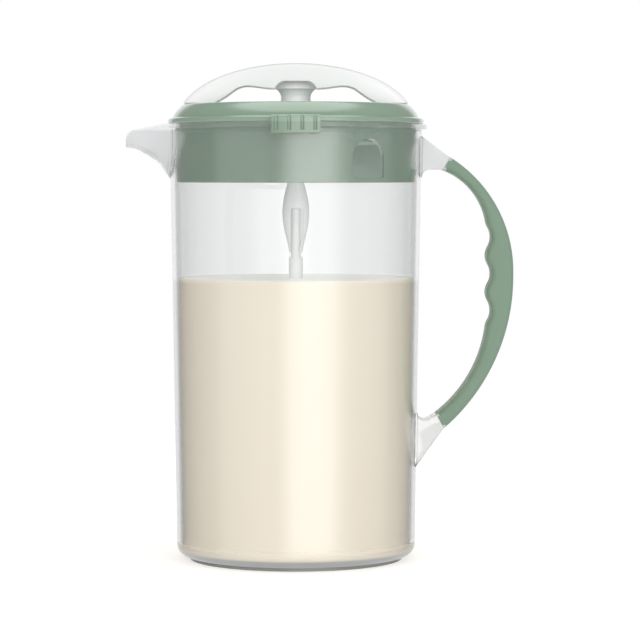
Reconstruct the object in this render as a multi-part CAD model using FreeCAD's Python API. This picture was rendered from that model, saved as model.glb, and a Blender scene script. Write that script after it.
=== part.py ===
import FreeCAD, Part
import math
import os

# Mixing pitcher for baby formula: a clear jar with a spout and a gripped handle, a push-in lid
# that turns to open or close the spout, and a mixer that is cranked from above the lid.
# The origin is the centre of the foot, +Z is up, the spout points to -X and the handle to +X.
# All sizes are in millimetres.

V = FreeCAD.Vector
UP = V(0, 0, 1)

# ---------------------------------------------------------------- driving dimensions: jar
jar_height = 189.0
jar_base_r = 51.75          # outer radius of the wall, carried down to the foot's plane
jar_taper = 0.0155          # outer radius gained for each mm of height
jar_wall = 2.2
jar_floor = 3.2
jar_corner_r = 5.2
foot_step = 0.3             # from the foot's edge to the start of the corner
foot_height = 1.5
foot_width = 4.0
foot_recess = 0.8
rim_overhang = 2.3          # bead beyond the wall
rim_height = 2.3
rim_edge = 0.7              # upright edge of the bead
rim_bevel = 1.1

# ---------------------------------------------------------------- spout
spout_reach = 73.5          # axis to the lip
spout_wall = 1.4
spout_mouth_w = 31.0        # inside, where it leaves the jar
spout_lip_w = 13.0          # inside, at the lip
spout_mouth_depth = 22.0    # rim down to the channel's floor at the jar
spout_lip_depth = 8.8       # rim down to the channel's floor at the lip
spout_lip_drop = 2.2        # fall of the side walls' top before they round down
spout_nose_r = 5.5
spout_nose_lean = 10.0      # degrees past upright at which the nose's arc takes over from the top
drip_lip_thick = 2.4        # floor's thickness behind the lip
drip_lip_edge = 1.3         # floor's thickness at the lip

# ---------------------------------------------------------------- handle and grip
handle_reach = 94.2         # axis to the outermost point
handle_crown_z = 124.0      # height of the outermost point
handle_crown_flat = 2.5
handle_upper_r = 58.1
handle_lower_r = 87.0
handle_width = 17.0
handle_edge_flat = 0.4      # flat left between the rounded edges where the grip is thinnest
palm_thick = 11.7           # outermost point to the palm line
shoulder_lean = 10.0        # degrees from upright where the palm leaves the top land
heel_lean = 7.5             # degrees from upright where the palm leaves the bottom land
upper_end_turn = 58.0       # degrees up the back's arc at which the grip ends
lower_end_turn = -48.5
upper_end_skew = 1.0        # degrees that the grip's end is cut off square to its back
lower_end_skew = 10.5
upper_end_thick = 6.3
lower_end_thick = 7.0
end_overrun = 4.0           # degrees that curves run past the end cuts before these trim them
upper_root_top_z = 183.4
lower_root_bottom_z = 41.0
upper_root_fillet_r = 3.4
lower_root_fillet_r = 3.2
lower_root_dip = 2.4        # fall of the lower root's top towards the jar
fillet_share = 0.9          # of its room between wall and grip that the lower root's fillet may fill
grip_skin = 1.3
core_thick = 2.5
core_width = 10.0
scallop_count = 3
scallop_pitch = 16.0
scallop_depth = 2.2
scallop_top_z = 140.0
land_r = 7.4

# ---------------------------------------------------------------- lid
lid_height = 8.5            # rim of the jar to the lid's top edge
lid_wall = 2.2
lid_top_r = 48.7
lid_lip_w = 6.0             # flat of the raised edge
lid_dish = 3.3              # raised edge above the deck
flange_r = 55.5
flange_thick = 2.1
skirt_wall = 1.8
skirt_depth = 25.4
window_angle = 38.6         # from the tab, towards the handle
window_w = 17.3
window_top_below_rim = 6.0
window_sill = 2.1
lid_edge = 0.9              # bevel round the raised edge
tab_angle = -90.0           # the tab is at the front
tab_w = 20.9
tab_r = 59.2
tab_drop = 4.5
tab_rise = 2.9
tab_chamfer = 0.8
tab_groove_count = 4
tab_groove_pitch = 5.4
tab_groove_w = 1.4
tab_groove_depth = 0.8
tab_groove_sill = 1.5
hub_r = 12.0
hub_rise = 1.6
hub_drop = 12.0
seal_height = 2.4
seal_thick = 1.6
seal_below_rim = 3.0
stem_seal_wire = 2.0

# ---------------------------------------------------------------- mixer
crank_half_span = 50.9      # half axes of the crank's outline
crank_rise = 24.7
crank_centre_above_rim = 1.4
crank_width = 22.0
crank_end_r = 48.9
crank_edge_r = 3.5
crank_wall = 2.0
crank_end_web = 6.0         # left solid at the end of each arm
crank_recess_x = 23.6       # highest point of each finger recess
crank_recess_rise = 15.0    # of that point above the rim
recess_roof_r = 5.0
recess_slope = 30.0         # degrees, out towards the arm's foot
recess_inner_slope = 4.0    # degrees, in towards the stem
crank_web_rise = 14.4       # underside beside the stem, above the rim
stem_r = 6.5
stem_flare_r = 8.9
stem_flare_h = 3.8
stem_below_hub = 3.0
stem_taper = 1.5            # length for each mm of radius lost below the journal
neck_r = 2.9
leaf_length = 35.0
leaf_half_w = 5.9
leaf_half_t = 4.4
leaf_tip_r = 2.4            # the leaf starts inside the neck
leaf_tip_lap = 3.0          # how far the neck runs down into the leaf
leaf_flattening = 0.01      # keeps the leaf's ends just oval
leaf_bottom_z = 133.3
leaf_fullness = 1.3
leaf_stations = 9
rod_r = 3.05
spigot_r = 2.2
spigot_length = 18.9
spigot_gap = 2.0            # bare spigot between leaf and rod
blade_r = 31.0
blade_height = 62.0
blade_thick = 2.0
blade_corner_r = 9.0
blade_twist = 50.0          # degrees from its foot to its top
slot_rows = 3
slot_length = 15.0
slot_height = 6.0
slot_pitch = 17.0
slot_from_rod = 5.0
slot_cut_depth = 10.0
blade_stations = 7

# ---------------------------------------------------------------- named clearances
skirt_clearance = 0.3       # lid's skirt to the jar's wall
seal_clearance = 0.3        # seal ring to its groove's floor and to the jar
seal_side_clearance = 0.15
tab_clearance = 0.3         # tab to the rim's bead
stem_clearance = 0.05       # stem in the hub, a running fit
stem_seal_clearance = 0.1
spigot_clearance = 0.05
grip_proud = 0.15           # grip's surface outside the roots' surface where they meet
crank_clearance = 0.6       # crank's ends above the lid's edge
blade_clearance = 4.5       # blade above the jar's floor
overrun = 1.0               # how far a cutting shape runs past the face that it cuts

# ---------------------------------------------------------------- sizes that follow
jar_corner_z = foot_height + jar_corner_r
jar_floor_z = foot_height + jar_floor
rim_z = jar_height - rim_height
lid_top_z = jar_height + lid_height
deck_z = lid_top_z - lid_dish
skirt_bottom_z = jar_height - skirt_depth
seal_z = jar_height - seal_below_rim
hub_bottom_z = deck_z - hub_drop
hub_middle_z = deck_z + (hub_rise - hub_drop) / 2
crank_centre_z = jar_height + crank_centre_above_rim
crank_foot_z = lid_top_z + crank_clearance
crank_web_z = jar_height + crank_web_rise
crank_recess_z = jar_height + crank_recess_rise
leaf_top_z = leaf_bottom_z + leaf_length
rod_top_z = leaf_bottom_z - spigot_gap
spigot_top_z = leaf_bottom_z + spigot_length
blade_bottom_z = jar_floor_z + blade_clearance
palm_x = handle_reach - palm_thick


def jar_outer(z):
    """Outer radius of the jar's wall at a height."""
    return jar_base_r + jar_taper * z


def jar_inner(z):
    """Inner radius of the jar's wall at a height."""
    return jar_outer(z) - jar_wall


foot_r = jar_outer(jar_corner_z) - jar_corner_r - foot_step
rim_r = jar_outer(rim_z) + rim_overhang


# ---------------------------------------------------------------- helpers
def at(x, z):
    """A point of an outline in the XZ plane."""
    return V(x, 0, z)


def polar(centre, r, degrees):
    """The point of a circle in the XZ plane at an angle from +X towards +Z."""
    a = math.radians(degrees)
    return at(centre.x + r * math.cos(a), centre.z + r * math.sin(a))


def angle_of(centre, point):
    """The angle from +X towards +Z at which a point lies from a centre."""
    return math.degrees(math.atan2(point.z - centre.z, point.x - centre.x))


def tangent_angle(centre, r, point):
    """Where on a circle its lower tangent through a point to its right touches it."""
    lean = math.degrees(math.acos(r / centre.distanceToPoint(point)))
    return angle_of(centre, point) - lean


def fillet_room(out, up):
    """Radius at which a fillet between wall and floor would touch a point that far out and up."""
    return out + up - math.sqrt(2 * out * up)


def arc(centre, r, start, end):
    """An arc in the XZ plane between two angles."""
    middle = (start + end) / 2
    return Part.Arc(polar(centre, r, start), polar(centre, r, middle), polar(centre, r, end))


def outline(*parts):
    """A closed wire of points and arcs; straight lines join what lies apart."""
    edges = []
    first = None
    last = None
    for part in parts:
        start = part if isinstance(part, FreeCAD.Vector) else part.value(part.FirstParameter)
        if first is None:
            first = start
        elif last.distanceToPoint(start) > 1e-6:
            edges.append(Part.LineSegment(last, start).toShape())
        if isinstance(part, FreeCAD.Vector):
            last = part
        else:
            edges.append(part.toShape())
            last = part.value(part.LastParameter)
    if last.distanceToPoint(first) > 1e-6:
        edges.append(Part.LineSegment(last, first).toShape())
    return Part.Wire(edges)


def revolved(*parts):
    """A full turn of a closed outline about the Z axis."""
    return Part.Face(outline(*parts)).revolve(V(0, 0, 0), UP, 360)


def plate(wire, width):
    """A wire of the XZ plane thickened evenly to both sides of it."""
    return Part.Face(wire).extrude(V(0, width, 0)).translated(V(0, -width / 2, 0))


def disc(r, low, high):
    """A cylinder about the Z axis between two heights."""
    return Part.makeCylinder(r, high - low, V(0, 0, low))


def turned(shape, degrees):
    """A copy of a shape turned about the Z axis."""
    return shape.rotated(V(0, 0, 0), UP, degrees)


def one_solid(shape, name):
    """The single solid of a shape; stops the build when there is not just one, or it is faulty."""
    if len(shape.Solids) != 1 or not shape.isValid():
        raise ValueError(f"{name} has {len(shape.Solids)} solids, valid {shape.isValid()}")
    return shape.Solids[0]


def between(a, b, share):
    """The value that lies a share of the way from a to b."""
    return a + (b - a) * share


def on_line(p, q, x):
    """The point at X on the straight line through two points of the XZ plane."""
    return at(x, between(p.z, q.z, (x - p.x) / (q.x - p.x)))


# ---------------------------------------------------------------- jar
def jar_blank():
    """The jar's outer form, filled in, which everything on its outside is cut back to."""
    corner = at(jar_outer(jar_corner_z) - jar_corner_r, jar_corner_z)
    return revolved(
        at(0, foot_recess),
        at(foot_r - foot_width, foot_recess),
        at(foot_r - foot_width, 0),
        at(foot_r, 0),
        at(foot_r, foot_height),
        arc(corner, jar_corner_r, -90, 0),
        at(jar_outer(rim_z), rim_z),
        at(rim_r, rim_z),
        at(rim_r, rim_z + rim_edge),
        at(rim_r - rim_bevel, jar_height),
        at(0, jar_height),
    )


def jar_hollow():
    """The space inside the jar's wall, open through the rim."""
    inner_r = jar_corner_r - jar_wall
    corner_z = jar_floor_z + inner_r
    corner = at(jar_inner(corner_z) - inner_r, corner_z)
    above = jar_height + overrun
    return revolved(
        at(0, jar_floor_z),
        arc(corner, inner_r, -90, 0),
        at(jar_inner(above), above),
        at(0, above),
    )


def make_jar():
    return one_solid(jar_blank().cut(jar_hollow()).cut(spout_channel()), "jar")


# ---------------------------------------------------------------- spout
def trough_section(x, half_width, floor_z, top_z):
    """A round-bottomed channel section across X: two upright sides on half a circle."""
    spring_z = floor_z + half_width
    left = V(x, -half_width, spring_z)
    right = V(x, half_width, spring_z)
    bottom = Part.Arc(left, V(x, 0, floor_z), right)
    top_left = V(x, -half_width, top_z)
    top_right = V(x, half_width, top_z)
    return Part.Wire([
        bottom.toShape(),
        Part.LineSegment(right, top_right).toShape(),
        Part.LineSegment(top_right, top_left).toShape(),
        Part.LineSegment(top_left, left).toShape(),
    ])


def spout_stations():
    """X, inner half width, floor depth and floor thickness at each station from jar to lip."""
    wall_x = jar_outer(jar_height)
    reach = spout_reach - wall_x
    narrowing = (spout_mouth_w - spout_lip_w) / 2
    rise = spout_mouth_depth - spout_lip_depth
    drip = drip_lip_thick
    # share of the reach, share of the narrowing, share of the floor's rise, floor's thickness
    shape = [
        (0.00, 0.06, 0.09, 1.9 * spout_wall),
        (0.22, 0.30, 0.45, spout_wall),
        (0.44, 0.53, 0.74, 0.88 * drip),
        (0.63, 0.71, 0.92, drip),
        (0.80, 0.85, 0.99, between(drip, drip_lip_edge, 0.65)),
        (1.00, 1.00, 1.00, drip_lip_edge),
    ]
    stations = [(wall_x - 2 * jar_wall, spout_mouth_w / 2, spout_mouth_depth, 3 * spout_wall)]
    for share, narrow, risen, floor in shape:
        stations.append((
            wall_x + share * reach,
            spout_mouth_w / 2 - narrow * narrowing,
            spout_mouth_depth - risen * rise,
            floor,
        ))
    return stations


def spout_channel():
    """The space that the liquid runs through, from inside the jar out past the lip."""
    above = jar_height + overrun
    sections = [
        trough_section(-x, half, jar_height - depth, above)
        for x, half, depth, _ in spout_stations()
    ]
    lip_x, lip_half, lip_depth, _ = spout_stations()[-1]
    sections.append(trough_section(-lip_x - overrun, lip_half, jar_height - lip_depth, above))
    return Part.makeLoft(sections, True, False)


def spout_side():
    """Side outline that trims the spout: level from the rim, falling, then rounded at the nose."""
    nose_x = -spout_reach + spout_nose_r
    nose_z = jar_height - spout_lip_drop - spout_nose_r
    nose = at(nose_x, nose_z)
    return plate(outline(
        at(0, 0),
        at(0, jar_height),
        at(-rim_r, jar_height),
        arc(nose, spout_nose_r, 90 + spout_nose_lean, 180),
        at(-spout_reach, 0),
    ), 4 * spout_mouth_w)


def make_spout(blank):
    above = jar_height + overrun
    sections = [
        trough_section(-x, half + spout_wall, jar_height - depth - floor, above)
        for x, half, depth, floor in spout_stations()
    ]
    beak = Part.makeLoft(sections, True, False).common(spout_side())
    return one_solid(beak.cut(blank).cut(spout_channel()), "spout")


# ---------------------------------------------------------------- handle
def upper_back_centre():
    return at(handle_reach - handle_upper_r, handle_crown_z + handle_crown_flat / 2)


def lower_back_centre():
    return at(handle_reach - handle_lower_r, handle_crown_z - handle_crown_flat / 2)


def upper_end():
    """Middle of the grip's upper end face, and the angle from +X at which the grip leaves it."""
    middle = polar(upper_back_centre(), handle_upper_r - upper_end_thick / 2, upper_end_turn)
    return middle, upper_end_turn - 90 + upper_end_skew


def lower_end():
    """Middle of the grip's lower end face, and the angle from +X at which the grip leaves it."""
    middle = polar(lower_back_centre(), handle_lower_r - lower_end_thick / 2, lower_end_turn)
    return middle, lower_end_turn + 90 - lower_end_skew


def end_corner(end, offset):
    """A point of an end face, at an offset to the left of the way the grip leaves it."""
    middle, way = end
    return polar(middle, offset, way + 90)


def top_land():
    """Centre of the rounded land above the first scallop."""
    return at(palm_x + land_r, scallop_top_z + scallop_pitch / 2)


def bottom_land():
    """Centre of the rounded land below the last scallop."""
    return top_land() - at(0, scallop_count * scallop_pitch)


def palm_arc(land, direction, end):
    """Centre and radius of the arc that leaves a land's surface smoothly and meets an end point."""
    chord = end - polar(land, land_r, direction)
    r = chord.dot(chord) / (2 * chord.dot(polar(at(0, 0), 1, direction)))
    return polar(land, land_r + r, direction), r


def shoulder():
    """Centre and radius of the palm's arc above the top land."""
    return palm_arc(top_land(), 180 + shoulder_lean, end_corner(upper_end(), -upper_end_thick / 2))


def heel():
    """Centre and radius of the palm's arc below the bottom land."""
    return palm_arc(bottom_land(), 180 - heel_lean, end_corner(lower_end(), lower_end_thick / 2))


def handle_edge_r():
    """Radius of the handle's long edges, as large as its thinnest place allows."""
    shoulder_centre, shoulder_r = shoulder()
    heel_centre, heel_r = heel()
    above = handle_upper_r - upper_back_centre().distanceToPoint(shoulder_centre) - shoulder_r
    below = handle_lower_r - lower_back_centre().distanceToPoint(heel_centre) - heel_r
    return (min(above, below) - handle_edge_flat) / 2


def back_curve(inset, upwards=False):
    """Back of the grip from its upper end down to the lower one, moved in by an inset."""
    upper = upper_back_centre()
    lower = lower_back_centre()
    top = upper_end_turn + end_overrun
    bottom = lower_end_turn - end_overrun
    if upwards:
        return [arc(lower, handle_lower_r - inset, bottom, 0),
                arc(upper, handle_upper_r - inset, 0, top)]
    return [arc(upper, handle_upper_r - inset, top, 0),
            arc(lower, handle_lower_r - inset, 0, bottom)]


def heel_curve():
    """Palm side from the lower end up to the bottom land."""
    centre, r = heel()
    start = angle_of(centre, end_corner(lower_end(), lower_end_thick / 2)) - end_overrun
    return arc(centre, r, start, -heel_lean)


def shoulder_curve():
    """Palm side from the top land to the upper end."""
    centre, r = shoulder()
    end = angle_of(centre, end_corner(upper_end(), -upper_end_thick / 2)) + 2 * end_overrun
    return arc(centre, r, shoulder_lean, end)


def scallop_curves():
    """Finger scallops from the bottom up, joined by rounded lands that are tangent to them."""
    half = scallop_pitch / 2
    lean = 2 * math.degrees(math.atan2(scallop_depth, half))
    scallop_r = half / math.sin(math.radians(lean)) - land_r
    curves = []
    for i in range(scallop_count):
        land = bottom_land() + at(0, i * scallop_pitch)
        z = land.z + half
        below = 180 - heel_lean if i == 0 else 180
        above = 180 + shoulder_lean if i == scallop_count - 1 else 180
        scallop = at(palm_x + scallop_depth - scallop_r, z)
        curves.append(arc(land, land_r, below, 180 - lean))
        curves.append(arc(scallop, scallop_r, -lean, lean))
        curves.append(arc(land + at(0, scallop_pitch), land_r, 180 + lean, above))
    return curves


def rounded(solid, edge_r, is_chosen):
    """A plate of the XZ plane with the chosen edges of both its faces rounded."""
    rims = [e for e in solid.Edges if e.BoundBox.YLength < 0.5 * edge_r and is_chosen(e)]
    return solid.makeFillet(edge_r, rims)


def is_free(end, wall_r):
    """A test for edges that lie outside the jar's wall and away from a root's end face."""
    def test(edge):
        middle = edge.CenterOfMass
        return middle.x > wall_r and at(middle.x, middle.z).distanceToPoint(end[0]) > 1
    return test


def handle_side(end):
    """A block that fills the grip's side of an end face."""
    middle, way = end
    size = 4 * handle_reach
    block = Part.makeBox(size, size, size, V(0, -size / 2, -size / 2))
    block.rotate(V(0, 0, 0), V(0, 1, 0), -way)
    return block.translated(middle)


def upper_root():
    """Solid web from the jar's wall to the grip's upper end."""
    half = upper_end_thick / 2 - grip_proud
    back = end_corner(upper_end(), half)
    palm = end_corner(upper_end(), -half)
    top = at(jar_outer(upper_root_top_z), upper_root_top_z)
    wall_r = jar_outer(palm.z)
    inside = wall_r - handle_width / 2
    fillet = at(wall_r + upper_root_fillet_r, palm.z - upper_root_fillet_r)
    sunk = on_line(back, top, top.x - jar_wall)
    web = plate(outline(
        at(inside, sunk.z),
        sunk,
        back,
        palm,
        arc(fillet, upper_root_fillet_r, 90, 180),
        at(inside, fillet.z),
    ), handle_width - 2 * grip_proud)
    return rounded(web, handle_edge_r(), is_free(upper_end(), wall_r))


def lower_root():
    """Solid web from the grip's lower end, drawn down along the jar's wall to a point."""
    half = lower_end_thick / 2 - grip_proud
    palm = end_corner(lower_end(), half)
    back = end_corner(lower_end(), -half)
    tip = at(jar_outer(lower_root_bottom_z), lower_root_bottom_z)
    wall_r = jar_outer(palm.z)
    inside = wall_r - handle_width / 2
    fillet_r = min(lower_root_fillet_r, fillet_share * fillet_room(palm.x - wall_r, lower_root_dip))
    fillet = at(wall_r + fillet_r, palm.z - lower_root_dip + fillet_r)
    fillet_end = tangent_angle(fillet, fillet_r, palm)
    sunk = on_line(back, tip, tip.x - jar_wall)
    web = plate(outline(
        sunk,
        at(inside, sunk.z),
        at(inside, fillet.z),
        arc(fillet, fillet_r, 180, 360 + fillet_end),
        palm,
        back,
    ), handle_width - 2 * grip_proud)
    return rounded(web, handle_edge_r(), is_free(lower_end(), wall_r))


def core_bar():
    """Slim bar of clear plastic inside the grip, from one root to the other."""
    return plate(outline(
        *back_curve(grip_skin),
        *back_curve(grip_skin + core_thick, upwards=True),
    ), core_width)


def make_handle_core(blank):
    core = upper_root().fuse(core_bar()).fuse(lower_root())
    return one_solid(core.cut(blank), "handle_core")


def make_handle_grip(core):
    ends_x = max(upper_end()[0].x, lower_end()[0].x) + max(upper_end_thick, lower_end_thick)
    grip = rounded(plate(outline(
        *back_curve(0),
        heel_curve(),
        *scallop_curves(),
        shoulder_curve(),
    ), handle_width), handle_edge_r(), lambda edge: edge.CenterOfMass.x > ends_x)
    grip = grip.common(handle_side(upper_end())).common(handle_side(lower_end()))
    return one_solid(grip.cut(core), "handle_grip")


# ---------------------------------------------------------------- lid
def shoulder_r_at(z):
    """Outer radius of the lid's sloping shoulder at a height."""
    foot_z = jar_height + flange_thick
    return between(flange_r, lid_top_r, (z - foot_z) / (lid_top_z - foot_z))


def groove_floor_r():
    """Radius of the seal groove's floor in the skirt."""
    return jar_inner(seal_z) - 2 * seal_clearance - seal_thick


def lid_body():
    """The lid as one turned moulding: dished deck, raised edge, flange, skirt and hub."""
    bore_r = stem_r + stem_clearance
    dish_r = lid_top_r - lid_lip_w
    channel_z = lid_top_z - lid_wall
    ceiling_z = deck_z - lid_wall
    skirt_low_r = jar_inner(skirt_bottom_z) - skirt_clearance
    skirt_top_r = jar_inner(jar_height) - skirt_clearance
    band_r = groove_floor_r() - skirt_wall
    groove_half = seal_height / 2 + seal_side_clearance
    band_z = seal_z - groove_half - skirt_wall
    skirt_inner_r = skirt_low_r - skirt_wall
    return revolved(
        at(bore_r, hub_bottom_z),
        at(hub_r, hub_bottom_z),
        at(hub_r, ceiling_z),
        at(dish_r + lid_wall, ceiling_z),
        at(dish_r + lid_wall, channel_z),
        at(shoulder_r_at(channel_z) - lid_wall, channel_z),
        at(band_r, jar_height),
        at(band_r, band_z),
        at(skirt_inner_r, band_z - skirt_wall),
        at(skirt_inner_r, skirt_bottom_z),
        at(skirt_low_r, skirt_bottom_z),
        at(jar_inner(seal_z - groove_half) - skirt_clearance, seal_z - groove_half),
        at(groove_floor_r(), seal_z - groove_half),
        at(groove_floor_r(), seal_z + groove_half),
        at(jar_inner(seal_z + groove_half) - skirt_clearance, seal_z + groove_half),
        at(skirt_top_r, jar_height),
        at(flange_r, jar_height),
        at(flange_r, jar_height + flange_thick),
        at(shoulder_r_at(lid_top_z - lid_edge), lid_top_z - lid_edge),
        at(lid_top_r - lid_edge, lid_top_z),
        at(dish_r, lid_top_z),
        at(dish_r, deck_z),
        at(hub_r, deck_z),
        at(hub_r, deck_z + hub_rise),
        at(bore_r, deck_z + hub_rise),
    )


def pour_window():
    """Round-topped window through the skirt, cut out towards +X and turned to its place."""
    half = window_w / 2
    sill_z = skirt_bottom_z + window_sill
    spring_z = jar_height - window_top_below_rim - half
    left = V(0, -half, spring_z)
    right = V(0, half, spring_z)
    wire = Part.Wire([
        Part.Arc(left, V(0, 0, spring_z + half), right).toShape(),
        Part.LineSegment(right, V(0, half, sill_z)).toShape(),
        Part.LineSegment(V(0, half, sill_z), V(0, -half, sill_z)).toShape(),
        Part.LineSegment(V(0, -half, sill_z), left).toShape(),
    ])
    window = Part.Face(wire).extrude(V(jar_height, 0, 0))
    return turned(window, tab_angle + window_angle)


def thumb_tab():
    """Grooved tab that hangs over the rim's bead, made towards +X and turned to the front."""
    inner_r = rim_r + tab_clearance
    low_z = jar_height - tab_drop
    top_z = jar_height + tab_rise
    half_angle = math.degrees(math.asin(tab_w / 2 / tab_r))
    section = outline(
        at(inner_r, low_z),
        at(tab_r - tab_chamfer, low_z),
        at(tab_r, low_z + tab_chamfer),
        at(tab_r, top_z - tab_chamfer / 2),
        at(tab_r - tab_chamfer / 2, top_z),
        at(flange_r - lid_wall, top_z),
        at(flange_r - lid_wall, jar_height),
        at(inner_r, jar_height),
    )
    tab = turned(Part.Face(section), -half_angle).revolve(V(0, 0, 0), UP, 2 * half_angle)
    groove = Part.makeBox(
        2 * tab_groove_depth, tab_groove_w, tab_drop + tab_rise,
        V(tab_r - tab_groove_depth, -tab_groove_w / 2, low_z + tab_groove_sill))
    first = -(tab_groove_count - 1) / 2
    for i in range(tab_groove_count):
        offset = math.degrees(math.asin((first + i) * tab_groove_pitch / tab_r))
        tab = tab.cut(turned(groove, offset))
    return turned(tab, tab_angle)


def stem_seal_groove():
    """Square groove in the hub's bore for the ring that wipes the mixer's stem."""
    half = stem_seal_wire / 2 + seal_side_clearance
    outer_r = stem_r + stem_seal_clearance + stem_seal_wire + seal_side_clearance
    return disc(outer_r, hub_middle_z - half, hub_middle_z + half)


def make_lid():
    lid = lid_body().fuse(thumb_tab()).cut(pour_window()).cut(stem_seal_groove())
    return one_solid(lid, "lid")


def make_lid_seal():
    """Soft ring in the skirt's groove, with a rounded lip towards the jar's wall."""
    inner_r = groove_floor_r() + seal_clearance
    outer_r = jar_inner(seal_z) - seal_clearance
    half = seal_height / 2
    lip = Part.Arc(
        at(outer_r - half / 2, seal_z - half), at(outer_r, seal_z), at(outer_r - half / 2, seal_z + half))
    return one_solid(revolved(
        at(inner_r, seal_z - half),
        lip,
        at(inner_r, seal_z + half),
    ), "lid_seal")


def make_stem_seal():
    """Round ring in the hub's groove."""
    wire_r = stem_seal_wire / 2
    ring_r = stem_r + stem_seal_clearance + wire_r
    return Part.makeTorus(ring_r, wire_r, V(0, 0, hub_middle_z), UP)


# ---------------------------------------------------------------- mixer
def crank_top(inset):
    """Half ellipse over the crank, from its right end to its left one, moved in by an inset."""
    centre = at(0, crank_centre_z)
    across = crank_half_span - inset
    up = crank_rise - inset
    ellipse = Part.Ellipse(at(across, crank_centre_z), at(0, crank_centre_z + up), centre)
    end = math.asin((crank_foot_z - crank_centre_z) / up)
    return Part.ArcOfEllipse(ellipse, end, math.pi - end)


def recess_side(side):
    """Finger recess under one arm: a roof arc and the slope from it to the arm's foot."""
    roof = at(side * crank_recess_x, crank_recess_z - recess_roof_r)
    steep = recess_slope
    outer = polar(roof, recess_roof_r, 90 - side * steep)
    run = (outer.z - crank_foot_z) / math.tan(math.radians(steep))
    foot = at(outer.x + side * run, crank_foot_z)
    inner_angle = 90 + side * recess_inner_slope
    if side < 0:
        return [foot, arc(roof, recess_roof_r, 90 + steep, inner_angle)]
    return [arc(roof, recess_roof_r, inner_angle, 90 - steep), foot]


def crank_arm():
    """Arched crank across the lid, round-ended in plan and cored out from below."""
    solid = plate(outline(
        crank_top(0),
        *recess_side(-1),
        at(-stem_flare_r, crank_web_z),
        at(stem_flare_r, crank_web_z),
        *recess_side(1),
    ), crank_width)
    solid = rounded(solid, crank_edge_r, lambda edge: edge.CenterOfMass.z > crank_recess_z)
    return solid.common(disc(crank_end_r, crank_centre_z, crank_centre_z + 2 * crank_rise))


def crank_cores():
    """The two hollows under the crank, either side of the block that carries the stem."""
    top = Part.Face(outline(crank_top(crank_wall)))
    hollow = top.extrude(V(0, crank_width - 2 * crank_wall, 0))
    hollow = hollow.translated(V(0, crank_wall - crank_width / 2, 0))
    block = 2 * (stem_flare_r + crank_wall)
    middle = Part.makeBox(block, crank_width, 2 * crank_rise,
                          V(-block / 2, -crank_width / 2, crank_centre_z))
    reach = disc(crank_end_r - crank_end_web, crank_centre_z, crank_centre_z + crank_rise)
    return hollow.common(reach).cut(middle)


def stem():
    """Turned stem: flare under the crank, journal through the hub, and a taper to the neck."""
    flare_low_z = crank_web_z - stem_flare_h
    journal_end_z = hub_bottom_z - stem_below_hub
    taper_end_z = journal_end_z - (stem_r - neck_r) * stem_taper
    flare = Part.Arc(
        at(stem_r, flare_low_z),
        at(between(stem_r, stem_flare_r, 0.25), between(flare_low_z, crank_web_z, 0.6)),
        at(stem_flare_r, crank_web_z))
    return revolved(
        at(0, leaf_top_z - leaf_tip_lap),
        at(neck_r, leaf_top_z - leaf_tip_lap),
        at(neck_r, taper_end_z),
        at(stem_r, journal_end_z),
        flare,
        at(stem_flare_r, crank_web_z + crank_wall),
        at(0, crank_web_z + crank_wall),
    )


def leaf():
    """Leaf-shaped lower end of the stem: oval sections that swell and close again."""
    sections = []
    for i in range(leaf_stations):
        share = i / (leaf_stations - 1)
        swell = math.sin(math.pi * share) ** leaf_fullness
        end_r = between(neck_r, leaf_tip_r, share)
        wide = between(end_r, leaf_half_w, swell)
        thick = between(end_r, leaf_half_t, swell) - leaf_flattening
        centre = V(0, 0, between(leaf_bottom_z, leaf_top_z, share))
        oval = Part.Ellipse(centre + V(wide, 0, 0), centre + V(0, thick, 0), centre)
        sections.append(Part.Wire(oval.toShape()))
    return Part.makeLoft(sections, True, False)


def make_mixing_handle():
    socket = disc(spigot_r + spigot_clearance, leaf_bottom_z - overrun, spigot_top_z + spigot_clearance)
    handle = crank_arm().cut(crank_cores()).fuse(stem()).fuse(leaf()).cut(socket)
    return one_solid(handle, "mixing_handle")


def blade_angle(z):
    """How far the blade has turned from the XZ plane at a height."""
    middle = blade_bottom_z + blade_height / 2
    return (z - middle) / blade_height * blade_twist


def twisted_blade():
    """Thin paddle twisted about the rod, with its outline's corners rounded."""
    sections = []
    half_t = blade_thick / 2
    reach = blade_r + blade_corner_r
    for i in range(blade_stations):
        z = between(blade_bottom_z, blade_bottom_z + blade_height, i / (blade_stations - 1))
        strip = Part.makePolygon([
            V(-reach, -half_t, z), V(reach, -half_t, z), V(reach, half_t, z), V(-reach, half_t, z),
            V(-reach, -half_t, z)])
        sections.append(turned(strip, blade_angle(z)))
    low = blade_bottom_z + blade_corner_r
    high = blade_bottom_z + blade_height - blade_corner_r
    inner = blade_r - blade_corner_r
    outer_form = revolved(
        at(0, blade_bottom_z),
        arc(at(inner, low), blade_corner_r, -90, 0),
        arc(at(inner, high), blade_corner_r, 0, 90),
        at(0, blade_bottom_z + blade_height),
    )
    return Part.makeLoft(sections, True, False).common(outer_form)


def blade_slots():
    """Rounded slots in rows up both wings, each cut square to the twisted wing at its height."""
    slots = []
    end_r = slot_height / 2
    middle = blade_bottom_z + blade_height / 2
    start_x = rod_r + slot_from_rod + end_r
    end_x = start_x + slot_length - slot_height
    for row in range(slot_rows):
        z = middle + (row - (slot_rows - 1) / 2) * slot_pitch
        slot = plate(outline(
            arc(at(start_x, z), end_r, 90, 270),
            arc(at(end_x, z), end_r, -90, 90),
        ), slot_cut_depth)
        for side in (0, 180):
            slots.append(turned(slot, blade_angle(z) + side))
    return slots


def make_mixing_blade():
    blade = twisted_blade()
    for slot in blade_slots():
        blade = blade.cut(slot)
    rod = disc(rod_r, blade_bottom_z, rod_top_z).fuse(disc(spigot_r, rod_top_z, spigot_top_z))
    return one_solid(rod.fuse(blade), "mixing_blade")


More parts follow.
